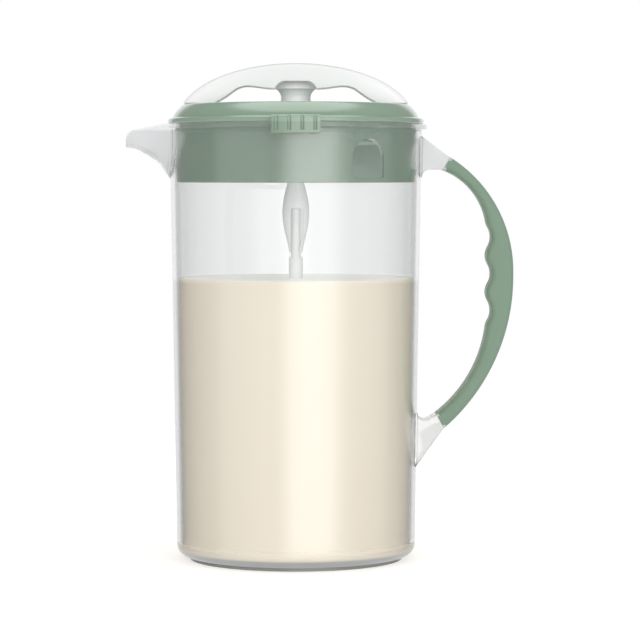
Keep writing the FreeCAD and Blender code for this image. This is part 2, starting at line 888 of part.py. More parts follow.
# ---------------------------------------------------------------- the whole part
def make_parts():
    """Every piece by its name."""
    blank = jar_blank()
    core = make_handle_core(blank)
    return {
        "jar": make_jar(),
        "spout": make_spout(blank),
        "handle_core": core,
        "handle_grip": make_handle_grip(core),
        "lid": make_lid(),
        "lid_seal": make_lid_seal(),
        "stem_seal": make_stem_seal(),
        "mixing_handle": make_mixing_handle(),
        "mixing_blade": make_mixing_blade(),
    }


os.makedirs("parts", exist_ok=True)
for name, shape in make_parts().items():
    shape.exportStep(f"parts/{name}.step")
    print(f"{name}: {shape.Volume / 1000:.1f} cm3, {len(shape.Faces)} faces")
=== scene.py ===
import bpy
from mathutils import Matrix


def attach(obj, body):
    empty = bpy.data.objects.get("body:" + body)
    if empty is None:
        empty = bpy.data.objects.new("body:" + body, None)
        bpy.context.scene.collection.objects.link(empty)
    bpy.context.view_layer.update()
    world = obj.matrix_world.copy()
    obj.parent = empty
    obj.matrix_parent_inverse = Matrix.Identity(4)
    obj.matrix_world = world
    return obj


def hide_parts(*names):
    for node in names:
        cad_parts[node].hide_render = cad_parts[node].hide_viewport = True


bl_info = {
    "name": "Formula Mixing Pitcher",
    "version": (1, 0, 0),
    "blender": (4, 5, 0),
    "location": "View3D > Sidebar > Pitcher",
    "description": "Clear pitcher with a spout, a soft grip, a green lid and a hand-turned mixer",
    "category": "Add Mesh",
}

from math import acos, asin, atan2, cos, degrees, pi, radians, sin, tau

import bmesh
import bpy
from bpy.props import FloatProperty, FloatVectorProperty, PointerProperty
from mathutils import Matrix, Vector

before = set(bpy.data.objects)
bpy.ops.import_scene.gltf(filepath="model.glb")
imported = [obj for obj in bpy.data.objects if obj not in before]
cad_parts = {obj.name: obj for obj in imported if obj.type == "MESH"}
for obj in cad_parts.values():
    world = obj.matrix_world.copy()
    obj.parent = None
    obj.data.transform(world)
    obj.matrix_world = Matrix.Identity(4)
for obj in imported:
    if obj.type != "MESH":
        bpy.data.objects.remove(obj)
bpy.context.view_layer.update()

MM = 0.001                  # pieces are modelled in millimetres and scaled to metres at the end
ROUND_STEPS = 256           # facets round the jar and all that is turned with it
JOIN_DISTANCE = 0.0005
HAIR = 0.01                 # a length too small to see


# ---- outlines in the XZ plane
def polar(centre, r, angle):
    """The point of a circle at an angle from +X towards +Z."""
    a = radians(angle)
    return Vector((centre[0] + r * cos(a), centre[1] + r * sin(a)))


def arc(centre, r, start, end, steps):
    """Points of an arc between two angles."""
    return [polar(centre, r, between(start, end, i / steps)) for i in range(steps + 1)]


def angle_of(centre, point):
    """The angle from +X towards +Z at which a point lies from a centre."""
    return degrees(atan2(point[1] - centre[1], point[0] - centre[0]))


def between(a, b, share):
    """The value that lies a share of the way from a to b."""
    return a + (b - a) * share


def on_line(p, q, x):
    """The point at X on the straight line through two points."""
    return Vector((x, between(p[1], q[1], (x - p[0]) / (q[0] - p[0]))))


def bowed(p, q, rise, steps):
    """Points of an arc from p to q that stands out by a rise to the right of the way from p to q."""
    p, q = Vector(p), Vector(q)
    half = (q - p).length / 2
    r = (half**2 + rise**2) / (2 * rise)
    aside = Vector((q[1] - p[1], p[0] - q[0])) / (2 * half)
    centre = (p + q) / 2 - aside * (r - rise)
    start = angle_of(centre, p)
    swept = (angle_of(centre, q) - start + 180) % 360 - 180
    return arc(centre, r, start, start + swept, steps)


def smooth_rows(rows, count):
    """Rows of values whose first column rises, filled in to a count of smoothly spaced rows."""
    rows = [Vector(row) for row in rows]
    slopes = [(b - a) / (b[0] - a[0]) for a, b in zip([rows[0], *rows], [*rows[1:], rows[-1]])]
    filled = []
    for n in range(count):
        x = between(rows[0][0], rows[-1][0], n / (count - 1))
        i = max(k for k in range(len(rows) - 1) if rows[k][0] <= x or k == 0)
        span = rows[i + 1][0] - rows[i][0]
        t = (x - rows[i][0]) / span
        filled.append(rows[i] * (2 * t**3 - 3 * t**2 + 1) + rows[i + 1] * (3 * t**2 - 2 * t**3)
                      + (slopes[i] * (t**3 - 2 * t**2 + t) + slopes[i + 1] * (t**3 - t**2)) * span)
    return filled


# ---- meshes
def closed(bm):
    """Merges what coincides and turns all faces outwards."""
    bmesh.ops.remove_doubles(bm, verts=bm.verts, dist=JOIN_DISTANCE)
    bmesh.ops.recalc_face_normals(bm, faces=bm.faces)
    return bm


def turned(profile, steps=ROUND_STEPS, is_loop=False):
    """A full turn about Z of (radius, height) points, from axis to axis or as a closed loop."""
    bm = bmesh.new()
    verts = [bm.verts.new((r, 0, z)) for r, z in profile]
    edges = [bm.edges.new(pair) for pair in zip(verts, verts[1:])]
    if is_loop:
        edges.append(bm.edges.new((verts[-1], verts[0])))
    bmesh.ops.spin(bm, geom=verts + edges, cent=(0, 0, 0), axis=(0, 0, 1),
                   angle=tau, steps=steps, use_merge=True)
    return closed(bm)


def rounded(bm, edges, radius, segments):
    """Rounds some edges of a shape."""
    bmesh.ops.bevel(bm, geom=edges, offset=radius, offset_type="OFFSET", affect="EDGES",
                    segments=segments, profile=0.5, material=-1, clamp_overlap=True)


def soften(bm, radius, *rings, segments=4):
    """Rounds the edges of a turned shape that run round at some (radius, height) points."""
    def lies_on(vert, ring):
        return (Vector((from_axis(vert), vert.co.z)) - Vector(ring)).length < HAIR

    edges = [e for e in bm.edges if any(all(lies_on(v, ring) for v in e.verts) for ring in rings)]
    if not edges:
        raise RuntimeError(f"no edge runs round at {rings}")
    rounded(bm, edges, radius, segments)


def from_axis(vert):
    return Vector(vert.co[:2]).length


def is_level(edge):
    """Whether an edge keeps to one Y."""
    return abs(edge.verts[0].co.y - edge.verts[1].co.y) < JOIN_DISTANCE


def turn(bm, angle):
    """Turns a shape about Z."""
    bmesh.ops.rotate(bm, verts=bm.verts, cent=(0, 0, 0),
                     matrix=Matrix.Rotation(radians(angle), 3, "Z"))
    return bm


def rod(r, low_z, high_z, x=0.0, segments=32):
    """An upright round bar."""
    bm = bmesh.new()
    bmesh.ops.create_cone(bm, cap_ends=True, segments=segments, radius1=r, radius2=r, depth=high_z - low_z)
    bmesh.ops.translate(bm, verts=bm.verts, vec=(x, 0, (low_z + high_z) / 2))
    return bm


def made_of(kind, made):
    """The vertices or the edges among what an operator made."""
    return [part for part in made["geom"] if isinstance(part, kind)]


def lofted(sections):
    """A solid through closed sections of equally many points."""
    bm = bmesh.new()
    ring = [bm.verts.new(p) for p in sections[0]]
    edges = [bm.edges.new((ring[i - 1], ring[i])) for i in range(len(ring))]
    bmesh.ops.contextual_create(bm, geom=edges)
    for section in sections[1:]:
        made = bmesh.ops.extrude_edge_only(bm, edges=edges)
        edges = made_of(bmesh.types.BMEdge, made)
        follower = {}
        for vert in made_of(bmesh.types.BMVert, made):
            start = next(e.other_vert(vert) for e in vert.link_edges if e.other_vert(vert) in ring)
            follower[start] = vert
        ring = [follower[vert] for vert in ring]
        for vert, point in zip(ring, section):
            vert.co = point
    bmesh.ops.contextual_create(bm, geom=edges)
    return closed(bm)


def plate(points, width, edge_r=0.0, is_rounded=None):
    """An outline of the XZ plane thickened evenly to both sides of it, with its long edges rounded."""
    bm = bmesh.new()
    face = bm.faces.new([bm.verts.new((p[0], -width / 2, p[1])) for p in points])
    far = made_of(bmesh.types.BMVert, bmesh.ops.extrude_face_region(bm, geom=[face]))
    bmesh.ops.translate(bm, verts=far, vec=(0, width, 0))
    if edge_r:
        rims = [e for e in bm.edges if is_level(e)
                and (is_rounded is None or is_rounded((e.verts[0].co + e.verts[1].co) / 2))]
        rounded(bm, rims, edge_r, 8)
    return closed(bm)


def as_object(name, bm):
    """A new object of the scene that takes over a bmesh."""
    mesh = bpy.data.meshes.new(name)
    bm.to_mesh(mesh)
    bm.free()
    obj = bpy.data.objects.new(name, mesh)
    bpy.context.scene.collection.objects.link(obj)
    return obj


def carved(base, *steps):
    """A bmesh with others joined to it, kept in common with it or cut from it, in order."""
    work = as_object("temporary", base)
    tools = []
    for operation, bm in steps:
        tools.append(as_object("temporary", bm))
        boolean = work.modifiers.new(operation, "BOOLEAN")
        boolean.operation = operation
        boolean.solver = "EXACT"
        boolean.object = tools[-1]
    result = bmesh.new()
    result.from_object(work, bpy.context.evaluated_depsgraph_get())
    for obj in [work, *tools]:
        mesh = obj.data
        bpy.data.objects.remove(obj)
        bpy.data.meshes.remove(mesh)
    bmesh.ops.remove_doubles(result, verts=result.verts, dist=JOIN_DISTANCE)
    loose = sum(not edge.is_manifold for edge in result.edges)
    if loose:
        raise RuntimeError(f"{loose} open edges after carving")
    return result


def piece(name, bm, body, material, crease=30):
    """The finished object of a bmesh in millimetres: smooth up to a crease, riding on its body."""
    for face in bm.faces:
        face.smooth = True
    for edge in bm.edges:
        edge.smooth = edge.is_manifold and edge.calc_face_angle() < radians(crease)
    bmesh.ops.scale(bm, vec=(MM, MM, MM), verts=bm.verts)
    obj = as_object(name, bm)
    obj.data.materials.append(material)
    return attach(obj, body)


def dress(node, material):
    """Gives a CAD node its finish."""
    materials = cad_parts[node].data.materials
    materials.clear()
    materials.append(material)


# ---- node trees
class Value:
    """A node's output that sums are written with."""

    def __init__(self, nodes, socket):
        self.nodes = nodes
        self.socket = socket

    def output(self, name):
        """Another output of the same node."""
        return Value(self.nodes, self.socket.node.outputs[name])

    def sum_of(self, operation, *values):
        return self.nodes.add("Math", dict(enumerate(values)), operation=operation)

    def __add__(self, other):
        return self.sum_of("ADD", self, other)

    def __sub__(self, other):
        return self.sum_of("SUBTRACT", self, other)

    def __rsub__(self, other):
        return self.sum_of("SUBTRACT", other, self)

    def __mul__(self, other):
        return self.sum_of("MULTIPLY", self, other)

    def __neg__(self):
        return self * -1

    __radd__ = __add__
    __rmul__ = __mul__


class Nodes:
    """One node tree in the making."""

    def __init__(self, tree):
        self.tree = tree
        tree.nodes.clear()

    def add(self, kind, inputs=None, output=0, **settings):
        """A node of a type, with its settings made first, then its sockets filled; gives one output."""
        node = self.tree.nodes.new("ShaderNode" + kind)
        for name, value in settings.items():
            setattr(node, name, value)
        for name, value in (inputs or {}).items():
            socket = node.inputs[name]
            if isinstance(value, Value):
                self.tree.links.new(value.socket, socket)
            elif socket.type == "RGBA":
                socket.default_value = (*value, 1.0)
            else:
                socket.default_value = value
        return Value(self, node.outputs[output])

    def end(self, kind, *shaders):
        """The tree's output, fed with a surface and perhaps a volume."""
        node = self.tree.nodes.new("ShaderNodeOutput" + kind)
        for shader, socket in zip(shaders, node.inputs):
            self.tree.links.new(shader.socket, socket)

    def clamp(self, value, low=0.0, high=1.0):
        return self.add("Clamp", {"Value": value, "Min": low, "Max": high})

    def magnitude(self, value):
        return self.add("Math", {0: value}, operation="ABSOLUTE")

    def ramp(self, value, low, high):
        """Rises smoothly from 0 to 1 as a value goes from low to high."""
        return self.add("MapRange", {"Value": value, "From Min": low, "From Max": high},
                        interpolation_type="SMOOTHSTEP")

    def fall(self, value, low, high):
        """Falls smoothly from 1 to 0 as a value goes from low to high."""
        return 1 - self.ramp(value, low, high)

    def blend(self, factor, a, b):
        """Colour a turning into colour b."""
        return self.add("Mix", {0: factor, 6: a, 7: b}, 2, data_type="RGBA")

    def mixed(self, factor, a, b):
        """Shader a turning into shader b."""
        return self.add("MixShader", {0: factor, 1: a, 2: b})

    def principled(self, inputs):
        return self.add("BsdfPrincipled", inputs)

    def see_through(self):
        return self.add("BsdfTransparent", {"Color": WHITE})

    def facing(self):
        """0 where the surface faces the viewer, rising to 1 at its edge."""
        return self.add("LayerWeight", {"Blend": 0.5}, "Facing")

    def light_path(self):
        return self.add("LightPath")

    def seen(self, path):
        """1 where the camera looks straight at something, by a mirror or through something clear."""
        return self.clamp(path.output("Is Camera Ray") + path.output("Is Glossy Ray")
                          + path.output("Is Transmission Ray"))

    def axes(self, vector):
        """X, Y and Z of a vector."""
        first = self.add("SeparateXYZ", {0: vector})
        return [Value(self, socket) for socket in first.socket.node.outputs]

    def place(self):
        """X, Y and Z of the surface point in the piece's own space, in millimetres."""
        return [axis * (1 / MM) for axis in self.axes(self.add("TexCoord", output="Object"))]

    def from_axis(self, x, y):
        """Distance from the Z axis."""
        across = self.add("CombineXYZ", {"X": x, "Y": y})
        return self.add("VectorMath", {0: across}, "Value", operation="LENGTH")

    def noise(self, scale, detail=2.0):
        """Noise over the surface, with a scale per metre."""
        place = self.add("TexCoord", output="Object")
        return self.add("TexNoise", {"Vector": place, "Scale": scale, "Detail": detail})

    def bump(self, height, distance):
        return self.add("Bump", {"Height": height, "Distance": distance})


def finish(name, *makers):
    """A material whose surface, and volume if it has one, come from functions of its nodes."""
    material = bpy.data.materials.new(name)
    material.use_nodes = True
    nodes = Nodes(material.node_tree)
    nodes.end("Material", *[make(nodes) for make in makers])
    return material


# ---- finishes
WHITE = (1, 1, 1)
BLACK = (0, 0, 0)
FILM_FADE_Z = (5.5, 9.5)    # heights over which the milky film low on the jar's wall fades
# painted shade: the milky film's colour towards its edges as seen
FILM_EDGE_SHADE = (0.25, 0.23, 0.2)
# painted shade: dark grey of the foot
FOOT_SHADE_GREY = (0.1, 0.1, 0.1)
JOINT_GREY = (0.2, 0.2, 0.2)
JOINT_OUT = 0.6             # how far outside the jar's wall the joint of spout and roots shows
FROTH_Z = (-0.7, -0.45)     # from the formula's highest level
FROTH_R = (50.0, 50.6)
# painted light: colour of the froth's glow
FROTH_PAINTED_LIGHT = (1, 0.97, 0.96)
LID_INSIDE_R = (50.3, 51.1)
# painted light: heights over which the mixer's glow fades out up the crank
MIXER_PAINTED_LIGHT_Z = (202, 217)


def colours():
    return bpy.context.scene.pitcher_colours


def sizes():
    return bpy.context.scene.pitcher_sizes


def shaded(colour, share):
    """A colour at a share of its brightness."""
    return [c * share for c in colour]


def clear_plastic(nodes):
    """Clear moulded plastic: faint flow marks, painted shade at glancing angles where it is wetted, cloudy
    where it is thick, with painted grey shade in the thick base, a painted dark line at the foot and
    painted shade at the edges of the milky film.
    """
    look = colours()
    fill_z = sizes().fill_height / MM
    x, y, z = nodes.place()
    wetted = nodes.fall(z, fill_z - 2, fill_z)
    slab = nodes.fall(z, JAR_FLOOR_Z - 0.5, JAR_FLOOR_Z + 0.3)
    foot = nodes.fall(z, FOOT_HEIGHT - 0.1, FOOT_HEIGHT + 0.5)
    milky = nodes.fall(z, *FILM_FADE_Z)
    beyond = nodes.from_axis(x, y) - z * JAR_TAPER - JAR_BASE_R
    outside = nodes.ramp(beyond, 0.2, JOINT_OUT) * (1 - slab)
    joint = nodes.fall(nodes.magnitude(beyond - JOINT_OUT), 0.2, 0.6)
    arched = nodes.from_axis(y, nodes.clamp(z - MOUTH_SPRING_Z, -JAR_HEIGHT, 0.0))
    cut = (nodes.fall(nodes.magnitude(arched - MOUTH_CUT_R), 0.6, 1.0)
           * nodes.ramp(-x, *MOUTH_CUT_X) * (1 - outside))

    facing = nodes.facing()
    flow = nodes.bump(nodes.noise(18.0, 1.0), 0.00002)
    # the second copy, at a tenth of the tint, is painted shade
    clear, edge = [nodes.principled({
        "Base Color": tint,
        "Roughness": 0.0,
        "IOR": 1.49,
        "Transmission Weight": 1.0,
        "Normal": flow,
    }) for tint in (look.clear_tint, shaded(look.clear_tint, 0.1))]
    # painted shade: below the formula's level the wall turns into its dark copy towards its edges as seen,
    # so that the formula looks shaded at its sides
    plastic = nodes.mixed(facing * (wetted * look.painted_edge_shade), clear, edge)

    # painted shade: the milky film darkens towards its edges as seen, and so towards its bottom where it
    # curves under
    tone = nodes.blend(facing * 0.6, look.milky_film, FILM_EDGE_SHADE)
    # the thick base is partly cloudy and partly painted grey as shade
    tone = nodes.blend(slab, tone, look.slab_shade_grey)
    # painted shade: the foot, up to about 2 mm, darkened towards grey like a shaded line along the table
    tone = nodes.blend(foot * 0.6, tone, FOOT_SHADE_GREY)
    tone = nodes.blend(outside, tone, look.web_white)
    tone = nodes.blend(outside * joint * 0.6, tone, JOINT_GREY)
    tone = nodes.blend(cut, tone, look.web_white)
    cloudy = nodes.principled({"Base Color": tone, "Roughness": 0.3})
    cloud = nodes.clamp(milky * 0.7 + slab * 0.15 + outside * 0.5 + cut * 0.6)
    plastic = nodes.mixed(cloud, plastic, cloudy)

    path = nodes.light_path()
    rim = nodes.ramp(z, RIM_Z - 0.9, RIM_Z - 0.1) * 0.8
    lit_through = nodes.clamp(path.output("Is Shadow Ray") + path.output("Diffuse Depth") + rim)
    return nodes.mixed(lit_through, plastic, nodes.see_through())


def clear_inside(nodes):
    """A little light lost along the way through clear plastic."""
    look = colours()
    return nodes.add("VolumeAbsorption", {
        "Color": [1 - share for share in look.clear_loss],
        "Density": look.clear_density,
    })


def formula_liquid(nodes):
    """Mixed formula: cream and milky, a little paler in the froth at its surface, which also glows with
    painted light.
    """
    look = colours()
    fill_z = sizes().fill_height / MM
    x, y, z = nodes.place()
    froth = (nodes.ramp(z, fill_z + FROTH_Z[0], fill_z + FROTH_Z[1])
             * nodes.fall(nodes.from_axis(x, y), *FROTH_R))
    shade = nodes.blend(nodes.noise(14.0) * 0.5, look.formula, look.formula_deep)
    return nodes.principled({
        "Base Color": nodes.blend(froth, shade, look.froth),
        "Roughness": 0.28 + froth * 0.6,
        "IOR": 1.65,
        # painted light: the froth at the surface glows
        "Emission Color": nodes.blend(froth, BLACK, FROTH_PAINTED_LIGHT),
        "Emission Strength": 0.25,
        "Normal": nodes.bump(nodes.noise(900.0, 1.0) * froth, 0.00003),
    })


def sage_plastic(nodes):
    """Opaque sage green moulded plastic with a fine satin grain, paler inside and above the rim as painted
    light, and darker below the rim as painted shade.
    """
    look = colours()
    x, y, z = nodes.place()
    # painted light: the inside of the skirt is paler and greyer
    inside = (nodes.fall(nodes.from_axis(x, y), *LID_INSIDE_R)
              * nodes.fall(z, JAR_HEIGHT + 3.5, JAR_HEIGHT + 4.5))
    # painted light: above the jar's rim the lid is lighter, and the darker green below it is painted shade
    upper = nodes.ramp(z, JAR_HEIGHT - 0.5, JAR_HEIGHT + 0.3)
    shade = nodes.blend(nodes.noise(22.0, 3.0) * 0.2, look.lid_green, shaded(look.lid_green, 0.93))
    shade = nodes.blend(inside, shade, look.lid_inside_lit)
    return nodes.principled({
        "Base Color": nodes.blend(upper, shade, look.lid_lit_upper),
        "Roughness": 0.26 + nodes.noise(60.0) * 0.02,
        "IOR": 1.55,
        "Coat Weight": 1.0,
        "Coat Roughness": 0.12,
        "Normal": nodes.bump(nodes.noise(2600.0), 0.000005),
    })


def sage_silicone(nodes):
    """Soft green sealing ring."""
    look = colours()
    cloud = nodes.noise(60.0)
    return nodes.principled({
        "Base Color": nodes.blend(cloud, look.seal_green, shaded(look.seal_green, 0.88)),
        "Roughness": 0.45 + cloud * 0.1,
        "Sheen Weight": 0.1,
        "Normal": nodes.bump(nodes.noise(1500.0), 0.00002),
    })


def soft_grip(nodes):
    """Soft-touch overmoulding: matt, with a very fine spark-eroded grain."""
    look = colours()
    grain = nodes.noise(1900.0)
    return nodes.principled({
        "Base Color": nodes.blend(nodes.noise(30.0, 3.0), look.grip_green, shaded(look.grip_green, 0.9)),
        "Roughness": 0.5 + grain * 0.12,
        "Sheen Weight": 0.15,
        "Sheen Roughness": 0.4,
        "Normal": nodes.bump(grain, 0.00003),
    })


def frosted_plastic(nodes):
    """Milky translucent plastic of the mixer: it glows a little with painted light from the leaf up to the
    crank's lower part, and is painted darker towards its edges.
    """
    look = colours()
    _, _, z = nodes.place()
    # painted light: a glow on the stem and the crank's lower part, fainter on the leaf, fading out up the
    # crank
    glow = (nodes.fall(z, *MIXER_PAINTED_LIGHT_Z)
            * (nodes.ramp(z, 115, 125) * 0.4 + nodes.ramp(z, 170, 195) * 0.6))
    cloud = nodes.noise(40.0)
    shade = nodes.blend(cloud, look.frosted, shaded(look.frosted, 0.97))
    return nodes.principled({
        # painted shade: darker towards its edges as seen
        "Base Color": nodes.blend(nodes.facing() * 0.75, shade, shaded(look.frosted, 0.5)),
        "Roughness": 0.2 + cloud * 0.06,
        "IOR": 1.45,
        "Transmission Weight": 0.06,
        "Emission Color": nodes.blend(glow, BLACK, WHITE),
        "Emission Strength": 0.1,
        "Normal": nodes.bump(nodes.noise(1400.0), 0.00002),
    })


# ---- what a user may change
def length(name, description, default, low, high):
    return FloatProperty(name=name, description=description, default=default, min=low, max=high,
                         unit="LENGTH", subtype="DISTANCE")


def strength(name, description, default, high):
    return FloatProperty(name=name, description=description, default=default, min=0, max=high)


def colour(name, description, *default):
    return FloatVectorProperty(name=name, description=description, default=default, size=3,
                               subtype="COLOR", min=0, max=1)


class PitcherSizes(bpy.types.PropertyGroup):
    """Sizes of the pieces that are modelled here."""
    fill_height: length("Fill height", "Height of the formula's surface above the table",
                        0.1224, 0.02, 0.16)
    fill_gap: length("Fill gap", "Room between the formula and the wall, so that the wall's edge shows",
                     0.00035, 0.00005, 0.002)
    grip_width: length("Grip width", "Width of the handle across the hand", 0.017, 0.012, 0.022)
    edge_radius: length("Handle edge radius", "Rounding of the handle's long edges",
                        0.00215, 0.0005, 0.0025)


class PitcherColours(bpy.types.PropertyGroup):
    """Colours of the finishes, as linear values."""
    clear_tint: colour("Clear tint", "Surface tint of the clear plastic", 0.945, 0.95, 0.95)
    # painted shade: how far the wall below the formula's level darkens at glancing angles
    painted_edge_shade: strength("Film loss", "How much the film darkens the wetted wall at glancing angles", 0.3, 1)
    web_white: colour("Web white", "Spout and handle roots, as far as they are cloudy", 0.77, 0.77, 0.785)
    milky_film: colour("Milky film", "Cream of the film low on the jar's wall", 0.93, 0.86, 0.73)
    # partly cloudiness, partly painted shade: grey of the thick base
    slab_shade_grey: colour("Slab grey", "Thick base, as far as it is cloudy", 0.44, 0.455, 0.455)
    clear_loss: colour("Clear loss", "How much of the density each colour is lost at",
                       0.81, 0.77, 0.75)
    clear_density: strength("Clear density", "How fast light is lost inside, per metre", 8, 200)
    formula: colour("Formula", "Colour of the mixed formula", 0.975, 0.882, 0.732)
    formula_deep: colour("Formula, deep", "Slightly deeper swirls in the formula", 0.955, 0.856, 0.702)
    froth: colour("Froth", "Paler froth at the formula's surface", 0.88, 0.865, 0.835)
    # below the rim the lid keeps this darker green as painted shade
    lid_green: colour("Lid green", "Sage green of the lid", 0.202, 0.287, 0.210)
    # painted light: the lighter green of the lid above the rim
    lid_lit_upper: colour("Lid upper green", "Green of the lid above the jar's rim", 0.248, 0.356, 0.264)
    # painted light inside the lid's skirt
    lid_inside_lit: colour("Lid inside", "Paler, greyer green inside the lid's skirt", 0.45, 0.55, 0.49)
    seal_green: colour("Seal green", "Green of the sealing rings", 0.215, 0.305, 0.23)
    grip_green: colour("Grip green", "Green of the soft grip", 0.21, 0.31, 0.225)
    frosted: colour("Frosted", "Tint of the mixer's milky plastic", 0.95, 0.95, 0.95)


class PitcherStage(bpy.types.PropertyGroup):
    """Light round the pitcher."""
    ambient: strength("Ambient", "Even light from all sides", 0.73, 2)
    frontal: strength("Frontal", "Light that grows towards the camera's side", 0.56, 4)
    fill: strength("Fill", "Light that grows towards the back", 0.25, 4)
    softbox: strength("Softbox", "Brightness of the overhead softbox in reflections", 2, 10)
    strip: strength("Strip", "Brightness of the upright strip light in reflections", 2.1, 10)
    room: strength("Room", "Brightness of the rest of the room in reflections", 0.25, 2)


# ---- jar
JAR_HEIGHT = 189.0
JAR_BASE_R = 51.75
JAR_TAPER = 0.0155
JAR_WALL = 2.2
JAR_FLOOR_Z = 4.7
JAR_CORNER_R = 5.2
FOOT_HEIGHT = 1.5
FOOT_WIDTH = 4.0
FOOT_STEP = 0.3
FOOT_RECESS = 0.8
SOFT_R = 0.2
RIM_Z = 186.7
RIM_OVERHANG = 2.29
RIM_EDGE = 0.7
RIM_BEVEL = 1.1
MENISCUS = [(0.3, 0.05), (1.0, 0.25), (2.5, 0.35)]    # inward and down from the formula's edge
ABOVE = 3.0                 # how far cutting shapes run past what they cut


def jar_outer(z):
    """Outer radius of the jar's wall at a height."""
    return JAR_BASE_R + JAR_TAPER * z


def jar_inner(z):
    return jar_outer(z) - JAR_WALL


def wall_points(radius, top_z, gap=0.0):
    """Points up one side of the jar's wall, clear of the corner and of what ends it above."""
    return [(radius(z) - gap, z) for z in range(15, int(top_z) - 4, 10)]


def hollow_corner(steps, gap=0.0):
    """The rounding inside the jar between its floor and its wall."""
    r = JAR_CORNER_R - JAR_WALL
    z = JAR_FLOOR_Z + r
    return arc((jar_inner(z) - r, z), r - gap, -90, 0, steps)


def jar_form():
    """The jar's outer form, filled in and run on above its rim."""
    corner_z = FOOT_HEIGHT + JAR_CORNER_R
    corner = (jar_outer(corner_z) - JAR_CORNER_R, corner_z)
    foot_r = corner[0] - FOOT_STEP
    rim_r = jar_outer(RIM_Z) + RIM_OVERHANG
    return turned([
        (0, FOOT_RECESS),
        *arc((foot_r - FOOT_WIDTH - SOFT_R, FOOT_RECESS - SOFT_R), SOFT_R, 90, 0, 8),
        *arc((foot_r - FOOT_WIDTH + SOFT_R, SOFT_R), SOFT_R, 180, 270, 8),
        *arc((foot_r - SOFT_R, SOFT_R), SOFT_R, -90, 0, 8),
        (foot_r, FOOT_HEIGHT),
        *arc(corner, JAR_CORNER_R, -90, 0, 16),
        *wall_points(jar_outer, JAR_HEIGHT),
        *arc((jar_outer(RIM_Z - SOFT_R) + SOFT_R, RIM_Z - SOFT_R), SOFT_R, 180, 90, 8),
        *arc((rim_r - SOFT_R, RIM_Z + SOFT_R), SOFT_R, -90, 0, 8),
        (rim_r, RIM_Z + RIM_EDGE),
        *arc((rim_r - RIM_BEVEL, JAR_HEIGHT - RIM_BEVEL), RIM_BEVEL, 0, 90, 10),
        (rim_r - RIM_BEVEL - HAIR, JAR_HEIGHT + ABOVE),
        (0, JAR_HEIGHT + ABOVE),
    ])


def jar_hollow():
    """The space inside the jar's wall, run on above the rim."""
    top = JAR_HEIGHT + 2 * ABOVE
    return turned([(0, JAR_FLOOR_Z), *hollow_corner(12), *wall_points(jar_inner, JAR_HEIGHT),
                   (jar_inner(top), top), (0, top)])


# ---- spout
SPOUT_REACH = 73.5
SPOUT_WALL = 1.4
SPOUT_MOUTH_W = 31.0
SPOUT_LIP_W = 13.0
SPOUT_MOUTH_DEPTH = 22.0
SPOUT_LIP_DEPTH = 8.8
SPOUT_LIP_DROP = 2.2
SPOUT_NOSE_R = 5.5
SPOUT_NOSE_LEAN = 10.0
DRIP_LIP_THICK = 2.4
DRIP_LIP_EDGE = 1.3
SPOUT_ROWS = 30
MOUTH_SPRING_Z = JAR_HEIGHT - SPOUT_MOUTH_DEPTH + SPOUT_MOUTH_W / 2
MOUTH_CUT_R = 15.25         # where the channel cuts the jar's wall, from the channel's axis
MOUTH_CUT_X = (48.5, 49.0)


def spout_rows():
    """X, inner half width, floor depth and floor thickness along the spout, from jar to lip."""
    wall_x = jar_outer(JAR_HEIGHT)
    rows = [(wall_x - 2 * JAR_WALL, SPOUT_MOUTH_W / 2, SPOUT_MOUTH_DEPTH, 3 * SPOUT_WALL)]
    for share, narrow, risen, floor in [
        (0.00, 0.06, 0.09, 1.9 * SPOUT_WALL),
        (0.22, 0.30, 0.45, SPOUT_WALL),
        (0.44, 0.53, 0.74, 0.88 * DRIP_LIP_THICK),
        (0.63, 0.71, 0.92, DRIP_LIP_THICK),
        (0.80, 0.85, 0.99, between(DRIP_LIP_THICK, DRIP_LIP_EDGE, 0.65)),
        (1.00, 1.00, 1.00, DRIP_LIP_EDGE),
    ]:
        rows.append((between(wall_x, SPOUT_REACH, share), between(SPOUT_MOUTH_W, SPOUT_LIP_W, narrow) / 2,
                     between(SPOUT_MOUTH_DEPTH, SPOUT_LIP_DEPTH, risen), floor))
    return smooth_rows(rows, SPOUT_ROWS)


def trough(x, half_width, floor_z, top_z):
    """A round-bottomed channel section across X: upright sides on half a circle."""
    spring_z = floor_z + half_width
    bottom = arc((0, spring_z), half_width, 180, 360, 28)
    sides = [between(spring_z, top_z, (i + 1) / 4) for i in range(4)]
    right = [(half_width, z) for z in sides]
    left = [(-half_width, z) for z in reversed(sides)]
    return [Vector((x, p[0], p[1])) for p in [*bottom, *right, *left]]


def spout_channel():
    """The space that the formula runs through, from inside the jar out past the lip."""
    top = JAR_HEIGHT + ABOVE
    rows = spout_rows()
    rows.append([rows[-1][0] + ABOVE, *rows[-1][1:]])
    return lofted([trough(-x, half, JAR_HEIGHT - depth, top) for x, half, depth, _ in rows])


def beak():
    """The spout's outer form, filled in."""
    top = JAR_HEIGHT + 0.7 * ABOVE
    return lofted([trough(-x, half + SPOUT_WALL, JAR_HEIGHT - depth - floor, top)
                   for x, half, depth, floor in spout_rows()])


def side_outline():
    """Everything below the rim's level and the spout's falling lip, seen from the side."""
    nose = (SPOUT_NOSE_R - SPOUT_REACH, JAR_HEIGHT - SPOUT_LIP_DROP - SPOUT_NOSE_R)
    far = 2 * JAR_HEIGHT
    return plate([
        (far, -ABOVE), (far, JAR_HEIGHT),
        (-jar_outer(RIM_Z) - RIM_OVERHANG, JAR_HEIGHT),
        *arc(nose, SPOUT_NOSE_R, 90 + SPOUT_NOSE_LEAN, 180, 16),
        (-SPOUT_REACH, -ABOVE),
    ], 2 * far)


